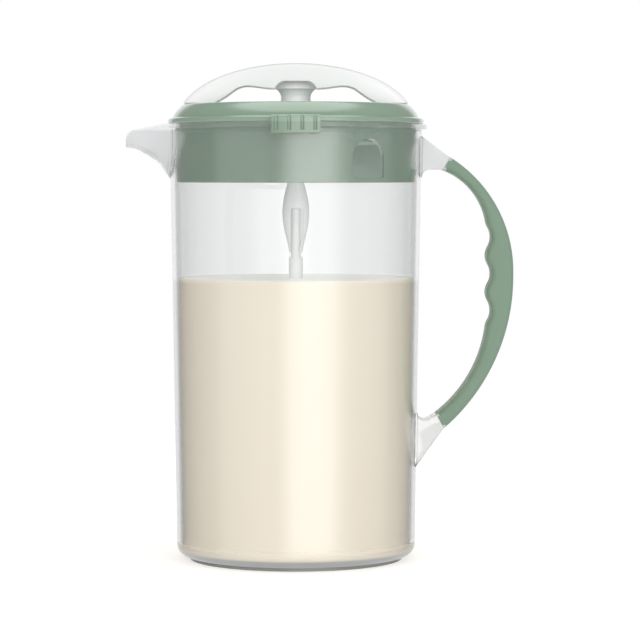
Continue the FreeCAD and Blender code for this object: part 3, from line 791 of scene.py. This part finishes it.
# ---- handle
HANDLE_REACH = 94.2
CROWN_Z = 124.0
CROWN_FLAT = 2.5
BACK_UPPER_R = 58.1
BACK_LOWER_R = 87.0
PALM_X = HANDLE_REACH - 11.7
SHOULDER_LEAN = 10.0
HEEL_LEAN = 7.5
UPPER_TURN = 58.0
LOWER_TURN = -48.5
UPPER_WAY = UPPER_TURN - 90 + 1.0
LOWER_WAY = LOWER_TURN + 90 - 10.5
UPPER_THICK = 6.3
LOWER_THICK = 7.0
UPPER_ROOT_Z = 183.4
LOWER_ROOT_Z = 41.0
UPPER_FILLET_R = 3.4
LOWER_FILLET_R = 3.2
LOWER_DIP = 2.4
GRIP_PROUD = 0.15
GRIP_END_REACH = 0.6        # how near the grip's ends its edges stay sharp
ROOT_SINK = 1.2             # how far a root runs on inside the grip
ROOT_INWARD = 9.0           # how far it runs into the jar before the hollow is cut
SCALLOPS = 3
SCALLOP_PITCH = 16.0
SCALLOP_DEPTH = 2.2
SCALLOP_TOP_Z = 140.0
LAND_R = 7.4

UPPER_BACK = Vector((HANDLE_REACH - BACK_UPPER_R, CROWN_Z + CROWN_FLAT / 2))
LOWER_BACK = Vector((HANDLE_REACH - BACK_LOWER_R, CROWN_Z - CROWN_FLAT / 2))
UPPER_MIDDLE = polar(UPPER_BACK, BACK_UPPER_R - UPPER_THICK / 2, UPPER_TURN)
LOWER_MIDDLE = polar(LOWER_BACK, BACK_LOWER_R - LOWER_THICK / 2, LOWER_TURN)
TOP_LAND = Vector((PALM_X + LAND_R, SCALLOP_TOP_Z + SCALLOP_PITCH / 2))
BOTTOM_LAND = TOP_LAND - Vector((0, SCALLOPS * SCALLOP_PITCH))


def palm_arc(land, direction, end):
    """Centre and radius of the arc that leaves a land smoothly and meets an end point."""
    chord = end - polar(land, LAND_R, direction)
    r = chord.dot(chord) / (2 * chord.dot(polar((0, 0), 1, direction)))
    return polar(land, LAND_R + r, direction), r


def bar_sides(middle, half, way):
    """The points to the left and right of a bar's middle, seen the way the bar runs."""
    return polar(middle, half, way + 90), polar(middle, half, way - 90)


def grip_outline():
    """The grip from the side: back, heel, finger scallops and shoulder."""
    upper_back, upper_palm = bar_sides(UPPER_MIDDLE, UPPER_THICK / 2, UPPER_WAY)
    lower_palm, lower_back = bar_sides(LOWER_MIDDLE, LOWER_THICK / 2, LOWER_WAY)
    heel, heel_r = palm_arc(BOTTOM_LAND, 180 - HEEL_LEAN, lower_palm)
    shoulder, shoulder_r = palm_arc(TOP_LAND, 180 + SHOULDER_LEAN, upper_palm)
    half = SCALLOP_PITCH / 2
    lean = 2 * degrees(atan2(SCALLOP_DEPTH, half))
    scallop_r = half / sin(radians(lean)) - LAND_R
    points = [
        *arc(UPPER_BACK, BACK_UPPER_R, angle_of(UPPER_BACK, upper_back), 0, 40),
        *arc(LOWER_BACK, BACK_LOWER_R, 0, angle_of(LOWER_BACK, lower_back), 40),
        *arc(heel, heel_r, angle_of(heel, lower_palm), -HEEL_LEAN, 24),
    ]
    for i in range(SCALLOPS):
        land = BOTTOM_LAND + Vector((0, i * SCALLOP_PITCH))
        below = 180 - HEEL_LEAN if i == 0 else 180
        above = 180 + SHOULDER_LEAN if i == SCALLOPS - 1 else 180
        points += arc(land, LAND_R, below, 180 - lean, 8)[1:]
        points += arc((PALM_X + SCALLOP_DEPTH - scallop_r, land[1] + half), scallop_r, -lean, lean, 12)[1:]
        points += arc(land + Vector((0, SCALLOP_PITCH)), LAND_R, 180 + lean, above, 8)[1:]
    return points + arc(shoulder, shoulder_r, SHOULDER_LEAN, angle_of(shoulder, upper_palm), 24)[1:]


def web(points):
    """One of the handle's roots from its outline."""
    return plate(points, sizes().grip_width / MM - 2 * GRIP_PROUD, sizes().edge_radius / MM)


def upper_root():
    """Solid web from the jar's wall to the grip's upper end."""
    back, palm = bar_sides(UPPER_MIDDLE, UPPER_THICK / 2 - GRIP_PROUD, UPPER_WAY)
    top = Vector((jar_outer(UPPER_ROOT_Z), UPPER_ROOT_Z))
    wall_r = jar_outer(palm[1])
    sunk = on_line(back, top, top[0] - JAR_WALL)
    run_on = polar((0, 0), ROOT_SINK, UPPER_WAY)
    fillet = (wall_r + UPPER_FILLET_R, palm[1] - UPPER_FILLET_R)
    return web([
        (wall_r - ROOT_INWARD, sunk[1]), sunk, back, back + run_on, palm + run_on, palm,
        *arc(fillet, UPPER_FILLET_R, 90, 180, 10), (wall_r - ROOT_INWARD, fillet[1]),
    ])


def lower_root():
    """Solid web from the grip's lower end, drawn down along the jar's wall to a point."""
    palm, back = bar_sides(LOWER_MIDDLE, LOWER_THICK / 2 - GRIP_PROUD, LOWER_WAY)
    tip = Vector((jar_outer(LOWER_ROOT_Z), LOWER_ROOT_Z))
    wall_r = jar_outer(palm[1])
    fillet = Vector((wall_r + LOWER_FILLET_R, palm[1] - LOWER_DIP + LOWER_FILLET_R))
    touch = angle_of(fillet, palm) - degrees(acos(LOWER_FILLET_R / (palm - fillet).length))
    sunk = on_line(back, tip, tip[0] - JAR_WALL)
    run_on = polar((0, 0), ROOT_SINK, LOWER_WAY)
    return web([
        sunk, (wall_r - ROOT_INWARD, sunk[1]), (wall_r - ROOT_INWARD, fillet[1]),
        *arc(fillet, LOWER_FILLET_R, 180, 360 + touch, 12),
        palm, palm + run_on, back + run_on, back,
    ])


# ---- lid
LID_TOP_Z = JAR_HEIGHT + 8.5
LID_WALL = 2.2
LID_TOP_R = 48.7
LID_TOP_EDGE = 1.1
LID_LIP_W = 6.0
LID_DISH = 3.3
DECK_Z = LID_TOP_Z - LID_DISH
DECK_EDGE = 0.8
FLANGE_R = 55.5
FLANGE_THICK = 2.1
FLANGE_EDGE = 0.7
LEDGE_R = 53.4              # where the shoulder rises from the flange
LEDGE_RISE = 0.6
SHOULDER_RISE = 0.55        # how far the shoulder bows outwards
SKIRT_WALL = 1.8
SKIRT_DEPTH = 25.4
SKIRT_GAP = 0.3
SKIRT_EDGE = 0.5
SEAL_Z = JAR_HEIGHT - 3.0
SEAL_HEIGHT = 2.4
SEAL_THICK = 1.6
SEAL_GAP = 0.3
SEAL_SIDE_GAP = 0.02
SEAL_BULGE = 0.05
HUB_R = 12.0
HUB_RISE = 1.6
HUB_DROP = 12.0
HUB_EDGE = 0.6
BORE_R = 6.55
WINDOW_ANGLE = -54.3
WINDOW_W = 16.2
WINDOW_BELOW_RIM = 7.0
WINDOW_SILL = 2.1
WINDOW_CORNER_R = 0.8
TAB_ANGLE = -90.0
TAB_W = 20.4
TAB_R = 59.2
TAB_DROP = 5.0
TAB_RISE = 2.9
TAB_GAP = 0.3
TAB_TOP_EDGE = 1.3
TAB_EDGE = 0.5
GROOVES = 4
GROOVE_PITCH = 5.4
GROOVE_R = 0.85
GROOVE_DEPTH = 0.6
GROOVE_SILL = 1.5


def skirt_outer(z):
    return jar_inner(z) - SKIRT_GAP


def lid_body():
    """The lid as one turned moulding: dished deck, raised edge, shoulder, flange, skirt and hub."""
    dish_r = LID_TOP_R - LID_LIP_W
    channel_z = LID_TOP_Z - LID_WALL
    ceiling_z = DECK_Z - LID_WALL
    skirt_z = JAR_HEIGHT - SKIRT_DEPTH
    skirt_r = skirt_outer(skirt_z)
    seat_r = jar_inner(SEAL_Z) - 2 * SEAL_GAP - SEAL_THICK
    seat_half = SEAL_HEIGHT / 2 + SEAL_SIDE_GAP
    band_r = seat_r - SKIRT_WALL
    band_z = SEAL_Z - seat_half - SKIRT_WALL
    flange_z = JAR_HEIGHT + FLANGE_THICK
    bm = turned([
        (BORE_R, DECK_Z - HUB_DROP),
        (HUB_R, DECK_Z - HUB_DROP),
        (HUB_R, ceiling_z),
        (dish_r + LID_WALL, ceiling_z),
        (dish_r + LID_WALL, channel_z),
        (LID_TOP_R - 0.4 * LID_WALL, channel_z),
        (band_r, JAR_HEIGHT),
        (band_r, band_z),
        (skirt_r - SKIRT_WALL, band_z - SKIRT_WALL),
        (skirt_r - SKIRT_WALL, skirt_z),
        (skirt_r, skirt_z),
        (skirt_outer(SEAL_Z - seat_half), SEAL_Z - seat_half),
        (seat_r, SEAL_Z - seat_half),
        (seat_r, SEAL_Z + seat_half),
        (skirt_outer(SEAL_Z + seat_half), SEAL_Z + seat_half),
        (skirt_outer(JAR_HEIGHT), JAR_HEIGHT),
        (FLANGE_R, JAR_HEIGHT),
        (FLANGE_R, flange_z),
        *bowed((LEDGE_R, flange_z + LEDGE_RISE), (LID_TOP_R, LID_TOP_Z), SHOULDER_RISE, 10),
        (dish_r, LID_TOP_Z),
        (dish_r, DECK_Z),
        (HUB_R, DECK_Z),
        (HUB_R, DECK_Z + HUB_RISE),
        (BORE_R, DECK_Z + HUB_RISE),
    ], is_loop=True)
    soften(bm, SKIRT_EDGE, (skirt_r, skirt_z), (skirt_r - SKIRT_WALL, skirt_z))
    soften(bm, FLANGE_EDGE, (FLANGE_R, JAR_HEIGHT), (FLANGE_R, flange_z))
    soften(bm, LID_TOP_EDGE, (LID_TOP_R, LID_TOP_Z), (dish_r, LID_TOP_Z), segments=6)
    soften(bm, DECK_EDGE, (dish_r, DECK_Z), (HUB_R, DECK_Z))
    soften(bm, HUB_EDGE, (HUB_R, DECK_Z + HUB_RISE), (HUB_R, DECK_Z - HUB_DROP))
    return bm


def thumb_tab():
    """The tab that hangs over the rim's bead, at the front."""
    inner_r = jar_outer(RIM_Z) + RIM_OVERHANG + TAB_GAP
    root_r = FLANGE_R - LID_WALL
    low_z = JAR_HEIGHT - TAB_DROP
    top_z = JAR_HEIGHT + TAB_RISE
    section = [(inner_r, low_z), (TAB_R, low_z), (TAB_R, top_z), (root_r, top_z),
               (root_r, JAR_HEIGHT), (inner_r, JAR_HEIGHT)]
    half_angle = degrees(asin(TAB_W / 2 / TAB_R))
    steps = 24
    sections = []
    for i in range(steps + 1):
        way = polar((0, 0), 1, TAB_ANGLE + between(-half_angle, half_angle, i / steps))
        sections.append([Vector((*(r * way), z)) for r, z in section])
    bm = lofted(sections)

    def borders_front(edge):
        return (edge.calc_face_angle() > radians(40)
                and all(from_axis(v) > TAB_R - HAIR for v in edge.verts))

    front = [e for e in bm.edges if borders_front(e)]
    top = [e for e in front if all(v.co.z > top_z - HAIR for v in e.verts)]
    rest = [e for e in front if e not in top]
    rounded(bm, top, TAB_TOP_EDGE, 6)
    rounded(bm, [e for e in rest if e.is_valid], TAB_EDGE, 6)
    return closed(bm)


def tab_grooves():
    """Upright cutters for the tab's grip grooves."""
    cutters = []
    for i in range(GROOVES):
        across = (i - (GROOVES - 1) / 2) * GROOVE_PITCH
        cutter = rod(GROOVE_R, JAR_HEIGHT - TAB_DROP + GROOVE_SILL, JAR_HEIGHT + 2 * TAB_RISE,
                     TAB_R + GROOVE_R - GROOVE_DEPTH)
        cutters.append(turn(cutter, TAB_ANGLE + degrees(asin(across / TAB_R))))
    return cutters


def pour_window():
    """Cutter for the round-topped window through one side of the skirt."""
    half = WINDOW_W / 2
    sill_z = JAR_HEIGHT - SKIRT_DEPTH + WINDOW_SILL
    spring_z = JAR_HEIGHT - WINDOW_BELOW_RIM - half
    inset = half - WINDOW_CORNER_R
    bm = plate([
        *arc((0, spring_z), half, 0, 180, 32),
        *arc((-inset, sill_z + WINDOW_CORNER_R), WINDOW_CORNER_R, 180, 270, 6),
        *arc((inset, sill_z + WINDOW_CORNER_R), WINDOW_CORNER_R, 270, 360, 6),
    ], JAR_BASE_R)
    bmesh.ops.translate(bm, verts=bm.verts, vec=(0, JAR_BASE_R, 0))
    return turn(bm, WINDOW_ANGLE - 90)


def seal_ring():
    """The seal, which fills its seat level with the skirt and bulges a little towards the jar."""
    outer_r = skirt_outer(SEAL_Z)
    low_z, high_z = SEAL_Z - SEAL_HEIGHT / 2, SEAL_Z + SEAL_HEIGHT / 2
    return turned([
        (outer_r - SEAL_THICK, low_z),
        *bowed((outer_r, low_z), (outer_r, high_z), SEAL_BULGE, 10),
        (outer_r - SEAL_THICK, high_z),
    ], is_loop=True)


# ---- mixer
CRANK_HALF_SPAN = 50.9
CRANK_RISE = 24.69
CRANK_CENTRE_Z = JAR_HEIGHT + 1.4
CRANK_WIDTH = 22.0
CRANK_END_R = 48.9
CRANK_EDGE_R = 3.5
CRANK_LOW_EDGE_R = 0.7
CRANK_WALL = 2.2
CRANK_END_WEB = 6.0
CRANK_FOOT_Z = LID_TOP_Z + 0.45
CRANK_RUN_ON = 5.0          # how far the arm runs on below its foot before it is trimmed
UNDERSIDE = [               # half the crank's waved underside: X and height above the rim
    (9.4, 15.25), (11.0, 15.3), (14.0, 15.6), (17.5, 16.1), (21.5, 16.3), (25.0, 15.4),
    (28.0, 13.4), (31.0, 11.3), (34.5, 9.3), (37.5, 7.6)]
STEM_R = 6.5
FLARE_R = 8.9
FLARE_Z = JAR_HEIGHT + 15.2
FLARE_H = 4.6
FLARE_BOW = 0.9
FLARE_CAP = 3.0
FLARE_CAP_BOW = 1.0
BOSS_R = 4.0
NOTCH_GAP = 0.15            # between the flare's domed top and the crank's underside
NECK_R = 2.9
JOURNAL_END_Z = DECK_Z - HUB_DROP - 3.0
TAPER = 1.5                 # length for each mm of radius lost below the journal
LEAF_LOW_Z = 133.3
LEAF_HIGH_Z = 168.3
LEAF_HALF_W = 5.9
LEAF_HALF_T = 4.4
LEAF_TIP_R = 2.4
LEAF_LAP = 3.0
LEAF_FULLNESS = 1.3
LEAF_WINDOW = [             # X and height above the leaf's lower end
    (-2.2, -1.0), (0.9, -1.0), (3.3, 7.7), (3.3, 19.3), (-2.2, 19.3)]
LEAF_WINDOW_Y = 1.0
LEAF_WINDOW_DEPTH = 6.0
SPIGOT_R = 2.25
SPIGOT_TOP_Z = LEAF_LOW_Z + 18.95


def crank_top(inset, low_z):
    """Half ellipse over the crank, from its right end to its left one, moved in by an inset."""
    across = CRANK_HALF_SPAN - inset
    up = CRANK_RISE - inset
    end = asin((low_z - CRANK_CENTRE_Z) / up)
    angles = [between(end, pi - end, i / 72) for i in range(73)]
    return [(across * cos(a), CRANK_CENTRE_Z + up * sin(a)) for a in angles]


def flare_cap():
    """Outline of the flare's domed top, from its rim in to the boss."""
    return bowed((FLARE_R, FLARE_Z), (BOSS_R, FLARE_Z + FLARE_CAP), FLARE_CAP_BOW, 8)


def crank_arm():
    """Arched crank with rounded upper edges, run on below its foot."""
    low_z = CRANK_FOOT_Z - CRANK_RUN_ON
    over_flare = [(x, z + NOTCH_GAP) for x, z in reversed(flare_cap())]
    waved = [(x, JAR_HEIGHT + z) for x, z in smooth_rows(UNDERSIDE, 40)]
    under = [*over_flare, *waved, (waved[-1][0] + CRANK_RUN_ON, low_z)]

    def is_upper(middle):
        across = middle.x / (CRANK_HALF_SPAN - 1)
        up = (middle.z - CRANK_CENTRE_Z) / (CRANK_RISE - 1)
        return across**2 + up**2 > 1 and middle.z > low_z + JOIN_DISTANCE

    bm = plate([*crank_top(0, low_z), *[(-x, z) for x, z in reversed(under)], *under],
               CRANK_WIDTH, CRANK_EDGE_R, is_upper)
    low = [e for e in bm.edges if is_level(e) and e.calc_face_angle() > radians(60)
           and abs(abs(e.verts[0].co.y) - CRANK_WIDTH / 2) < JOIN_DISTANCE]
    rounded(bm, low, CRANK_LOW_EDGE_R, 4)
    return closed(bm)


def crank_hollow():
    """The space under the crank, between its walls, to either side of the flare."""
    low_z = CRANK_FOOT_Z - ABOVE
    high_z = 2 * LID_TOP_Z
    top = crank_top(CRANK_WALL, CRANK_FOOT_Z)
    bm = plate([*top, (top[-1][0], low_z), (top[0][0], low_z)], CRANK_WIDTH - 2 * CRANK_WALL)
    return carved(bm, ("INTERSECT", rod(CRANK_END_R - CRANK_END_WEB, low_z, high_z, segments=96)),
                  ("DIFFERENCE", rod(FLARE_R + CRANK_WALL, low_z, high_z, segments=96)))


def stem():
    """Turned stem: boss and flare under the crank, journal through the hub, and a taper to the neck."""
    low_z = LEAF_HIGH_Z - LEAF_LAP
    top_z = CRANK_CENTRE_Z + CRANK_RISE - 0.5 * CRANK_WALL
    flare = bowed((FLARE_R, FLARE_Z), (STEM_R, FLARE_Z - FLARE_H), FLARE_BOW, 10)
    return turned([
        (0, low_z),
        (NECK_R, low_z),
        (NECK_R, JOURNAL_END_Z - (STEM_R - NECK_R) * TAPER),
        (STEM_R, JOURNAL_END_Z),
        *reversed(flare),
        *flare_cap(),
        (BOSS_R, top_z),
        (0, top_z),
    ], steps=96)


def leaf():
    """Leaf-shaped lower end of the stem: oval sections that swell and close again."""
    sections = []
    for i in range(25):
        share = i / 24
        swell = sin(pi * share) ** LEAF_FULLNESS
        end_r = between(NECK_R, LEAF_TIP_R, share)
        wide = between(end_r, LEAF_HALF_W, swell)
        thick = between(end_r, LEAF_HALF_T, swell)
        z = between(LEAF_LOW_Z, LEAF_HIGH_Z, share)
        sections.append([Vector((wide * cos(a), thick * sin(a), z))
                         for a in (tau * k / 48 for k in range(48))])
    return lofted(sections)


def leaf_window():
    """Cutter that lays the blade's spigot bare at the front of the leaf."""
    bm = plate([(x, LEAF_LOW_Z + z) for x, z in LEAF_WINDOW], LEAF_WINDOW_DEPTH)
    bmesh.ops.translate(bm, verts=bm.verts, vec=(0, -LEAF_WINDOW_DEPTH / 2 - LEAF_WINDOW_Y, 0))
    return bm


# ---- stage
FLOOR_R = 0.7               # metres
FLOOR_GLOW = 0.2
GLASS_GLOW = 0.6            # what the floor adds where it is seen through the clear plastic
FLOOR_TONE = (0.93, 0.93, 0.93)
FRONT_WAY = (0.24, -0.92, 0.30)
BACK_WAY = (0, 0.94, 0.34)
STRIP_AZIMUTH = 16          # degrees from the front towards +X
STRIP_EDGE = (10, 42)
LEFT_PANEL = (-78, -22)
LEFT_GLOW = 0.42
RIGHT_PANEL = (48, 96)
RIGHT_GLOW = 0.3
PANEL_EDGE = 8
LEVEL_EDGE = (0.50, 0.62)   # how far up and down strip and panels reach
OVERHEAD_EDGE = (0.80, 0.90)
BELOW_EDGE = (0.12, 0.45)
BELOW_GLOW = 0.7
BACKDROP_EDGE = (0.76, 0.93)
CAMERA_PLACE = (0, -1.238, 0.162)
CAMERA_AIM = (0.0105, 0, 0.1039)
CAMERA_LENS = 160.1


def floor_white(nodes):
    """Plain white floor that keeps the object's shadow."""
    path = nodes.light_path()
    matt = nodes.principled({
        "Base Color": FLOOR_TONE,
        "Roughness": 1.0,
        "Specular IOR Level": 0.0,
        "Normal": nodes.bump(nodes.noise(300.0), 0.0001),
    })
    glow = nodes.add("Emission", {
        "Color": WHITE,
        "Strength": path.output("Is Transmission Ray") * GLASS_GLOW + FLOOR_GLOW,
    })
    both = nodes.add("AddShader", {0: matt, 1: glow})
    lit = nodes.mixed(nodes.seen(path), matt, both)
    return nodes.mixed(nodes.clamp(path.output("Glossy Depth")), lit, nodes.see_through())


# ---- operators
class MakeClearMoulding(bpy.types.Operator):
    """Jar, spout and the handle's two roots as one clear moulding"""
    bl_idname = "pitcher.clear_moulding"
    bl_label = "Clear moulding"

    def execute(self, context):
        bm = carved(
            jar_form(), ("UNION", beak()), ("INTERSECT", side_outline()),
            ("UNION", upper_root()), ("UNION", lower_root()),
            ("DIFFERENCE", jar_hollow()), ("DIFFERENCE", spout_channel()))
        plastic = finish("clear_plastic", clear_plastic, clear_inside)
        obj = piece("clear_moulding", bm, "pitcher", plastic, crease=14)
        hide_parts("jar", "spout", "handle_core")
        return {"FINISHED"}


class MakeFormula(bpy.types.Operator):
    """The mixed formula that stands in the jar"""
    bl_idname = "pitcher.formula"
    bl_label = "Formula"

    def execute(self, context):
        gap = sizes().fill_gap / MM
        top = sizes().fill_height / MM
        edge_r = jar_inner(top) - gap
        bm = turned([
            (0, JAR_FLOOR_Z + gap),
            *hollow_corner(10, gap),
            *wall_points(jar_inner, top, gap),
            (edge_r, top),
            *[(edge_r - inward, top - drop) for inward, drop in MENISCUS],
            (0, top - MENISCUS[-1][1]),
        ])
        liquid = finish("formula_liquid", formula_liquid)
        piece("formula_fill", bm, "pitcher", liquid)
        return {"FINISHED"}


class MakeGrip(bpy.types.Operator):
    """The soft grip with its finger scallops"""
    bl_idname = "pitcher.grip"
    bl_label = "Grip"

    def execute(self, context):
        ends = [Vector((m[0], 0, m[1])) for m in (UPPER_MIDDLE, LOWER_MIDDLE)]

        def is_long(middle):
            return all((Vector((middle.x, 0, middle.z)) - end).length > GRIP_END_REACH for end in ends)

        bm = plate(grip_outline(), sizes().grip_width / MM, sizes().edge_radius / MM, is_long)
        obj = piece("soft_grip", bm, "pitcher", finish("soft_grip", soft_grip))
        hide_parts("handle_grip")
        return {"FINISHED"}


class MakeLid(bpy.types.Operator):
    """The green lid with its skirt, pouring window and thumb tab"""
    bl_idname = "pitcher.lid"
    bl_label = "Lid"

    def execute(self, context):
        cuts = [("DIFFERENCE", cutter) for cutter in (*tab_grooves(), pour_window())]
        bm = carved(lid_body(), ("UNION", thumb_tab()), *cuts)
        lid = piece("green_lid", bm, "lid", finish("sage_plastic", sage_plastic))
        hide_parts("lid")
        silicone = finish("sage_silicone", sage_silicone)
        ring = piece("skirt_seal", seal_ring(), "seal", silicone)
        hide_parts("lid_seal")
        dress("stem_seal", silicone)
        return {"FINISHED"}


class MakeMixer(bpy.types.Operator):
    """The arched crank with its stem, and the twisted blade"""
    bl_idname = "pitcher.mixer"
    bl_label = "Mixer"

    def execute(self, context):
        frosted = finish("frosted_plastic", frosted_plastic)
        end = rod(CRANK_END_R, CRANK_FOOT_Z, 2 * LID_TOP_Z, segments=ROUND_STEPS)
        socket = rod(SPIGOT_R, LEAF_LOW_Z - ABOVE, SPIGOT_TOP_Z)
        bm = carved(crank_arm(), ("INTERSECT", end), ("DIFFERENCE", crank_hollow()),
                    ("UNION", stem()), ("UNION", leaf()),
                    ("DIFFERENCE", socket), ("DIFFERENCE", leaf_window()))
        crank = piece("mixing_crank", bm, "mixer", frosted)
        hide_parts("mixing_handle")
        dress("mixing_blade", frosted)
        return {"FINISHED"}


class MakeStage(bpy.types.Operator):
    """Floor, light and camera"""
    bl_idname = "pitcher.stage"
    bl_label = "Stage"

    def execute(self, context):
        self.floor()
        self.world(context.scene)
        self.camera(context.scene)
        context.scene.view_settings.view_transform = "Standard"
        return {"FINISHED"}

    def floor(self):
        bm = bmesh.new()
        bmesh.ops.create_circle(bm, cap_ends=True, segments=96, radius=FLOOR_R)
        obj = as_object("floor", bm)
        obj.data.materials.append(finish("floor_white", floor_white))
        obj.visible_glossy = False

    def world(self, scene):
        light = scene.pitcher_stage
        scene.world = bpy.data.worlds.new("studio")
        scene.world.use_nodes = True
        nodes = Nodes(scene.world.node_tree)
        x, y, z = nodes.axes(nodes.add("TexCoord", output="Generated"))

        def towards(way):
            """How far a direction goes a given way, from 0 to 1."""
            return nodes.clamp(x * way[0] + y * way[1] + z * way[2])

        def within(value, *edge):
            """1 near 0 degrees, fading out between two angles."""
            return nodes.fall(value, *[radians(angle) for angle in edge])

        def panel(start, end):
            """1 between two azimuths, with soft edges."""
            half = (end - start) / 2
            away = nodes.magnitude(azimuth - radians(start + half))
            return within(away, half - PANEL_EDGE, half + PANEL_EDGE)

        lighting = towards(FRONT_WAY) * light.frontal + towards(BACK_WAY) * light.fill + light.ambient

        azimuth = nodes.add("Math", {0: x, 1: -y}, operation="ARCTAN2")
        strip = within(nodes.magnitude(azimuth - radians(STRIP_AZIMUTH)), *STRIP_EDGE)
        upright = strip * light.strip + panel(*LEFT_PANEL) * LEFT_GLOW + panel(*RIGHT_PANEL) * RIGHT_GLOW
        overhead = nodes.ramp(z, *OVERHEAD_EDGE) * light.softbox
        below = nodes.ramp(-z, *BELOW_EDGE) * BELOW_GLOW
        studio = overhead + below + upright * nodes.fall(nodes.magnitude(z), *LEVEL_EDGE) + light.room
        backdrop = nodes.ramp(y, *BACKDROP_EDGE)
        studio = studio * (1 - backdrop) + backdrop

        path = nodes.light_path()
        mirrored = nodes.clamp(path.output("Glossy Depth"))
        shown = studio * mirrored + (1 - mirrored)
        seen = nodes.seen(path) * (1 - nodes.clamp(path.output("Diffuse Depth")))
        nodes.end("World", nodes.add("Background", {
            "Color": WHITE,
            "Strength": lighting * (1 - seen) + shown * seen,
        }))

    def camera(self, scene):
        data = bpy.data.cameras.new("camera")
        data.lens = CAMERA_LENS
        data.sensor_width = 36
        obj = bpy.data.objects.new("camera", data)
        scene.collection.objects.link(obj)
        obj.location = CAMERA_PLACE
        way = Vector(CAMERA_AIM) - Vector(CAMERA_PLACE)
        obj.rotation_euler = way.to_track_quat("-Z", "Y").to_euler()
        scene.camera = obj


class PitcherPanel(bpy.types.Panel):
    """Builds the pitcher piece by piece"""
    bl_idname = "VIEW3D_PT_pitcher"
    bl_label = "Pitcher"
    bl_space_type = "VIEW_3D"
    bl_region_type = "UI"
    bl_category = "Pitcher"

    def draw(self, context):
        for operator in OPERATORS:
            self.layout.operator(operator.bl_idname)
        for name, group in GROUPS.items():
            box = self.layout.box()
            for field in group.__annotations__:
                box.prop(getattr(context.scene, name), field)


GROUPS = {"pitcher_sizes": PitcherSizes, "pitcher_colours": PitcherColours, "pitcher_stage": PitcherStage}
OPERATORS = (MakeClearMoulding, MakeFormula, MakeGrip, MakeLid, MakeMixer, MakeStage)
CLASSES = (*GROUPS.values(), *OPERATORS, PitcherPanel)


def register():
    for cls in CLASSES:
        bpy.utils.register_class(cls)
    for name, group in GROUPS.items():
        setattr(bpy.types.Scene, name, PointerProperty(type=group))


def unregister():
    for name in GROUPS:
        delattr(bpy.types.Scene, name)
    for cls in reversed(CLASSES):
        bpy.utils.unregister_class(cls)


def main():
    register()
    bpy.ops.pitcher.clear_moulding()
    bpy.ops.pitcher.formula()
    bpy.ops.pitcher.grip()
    bpy.ops.pitcher.lid()
    bpy.ops.pitcher.mixer()
    bpy.ops.pitcher.stage()


if __name__ == "__main__":
    main()
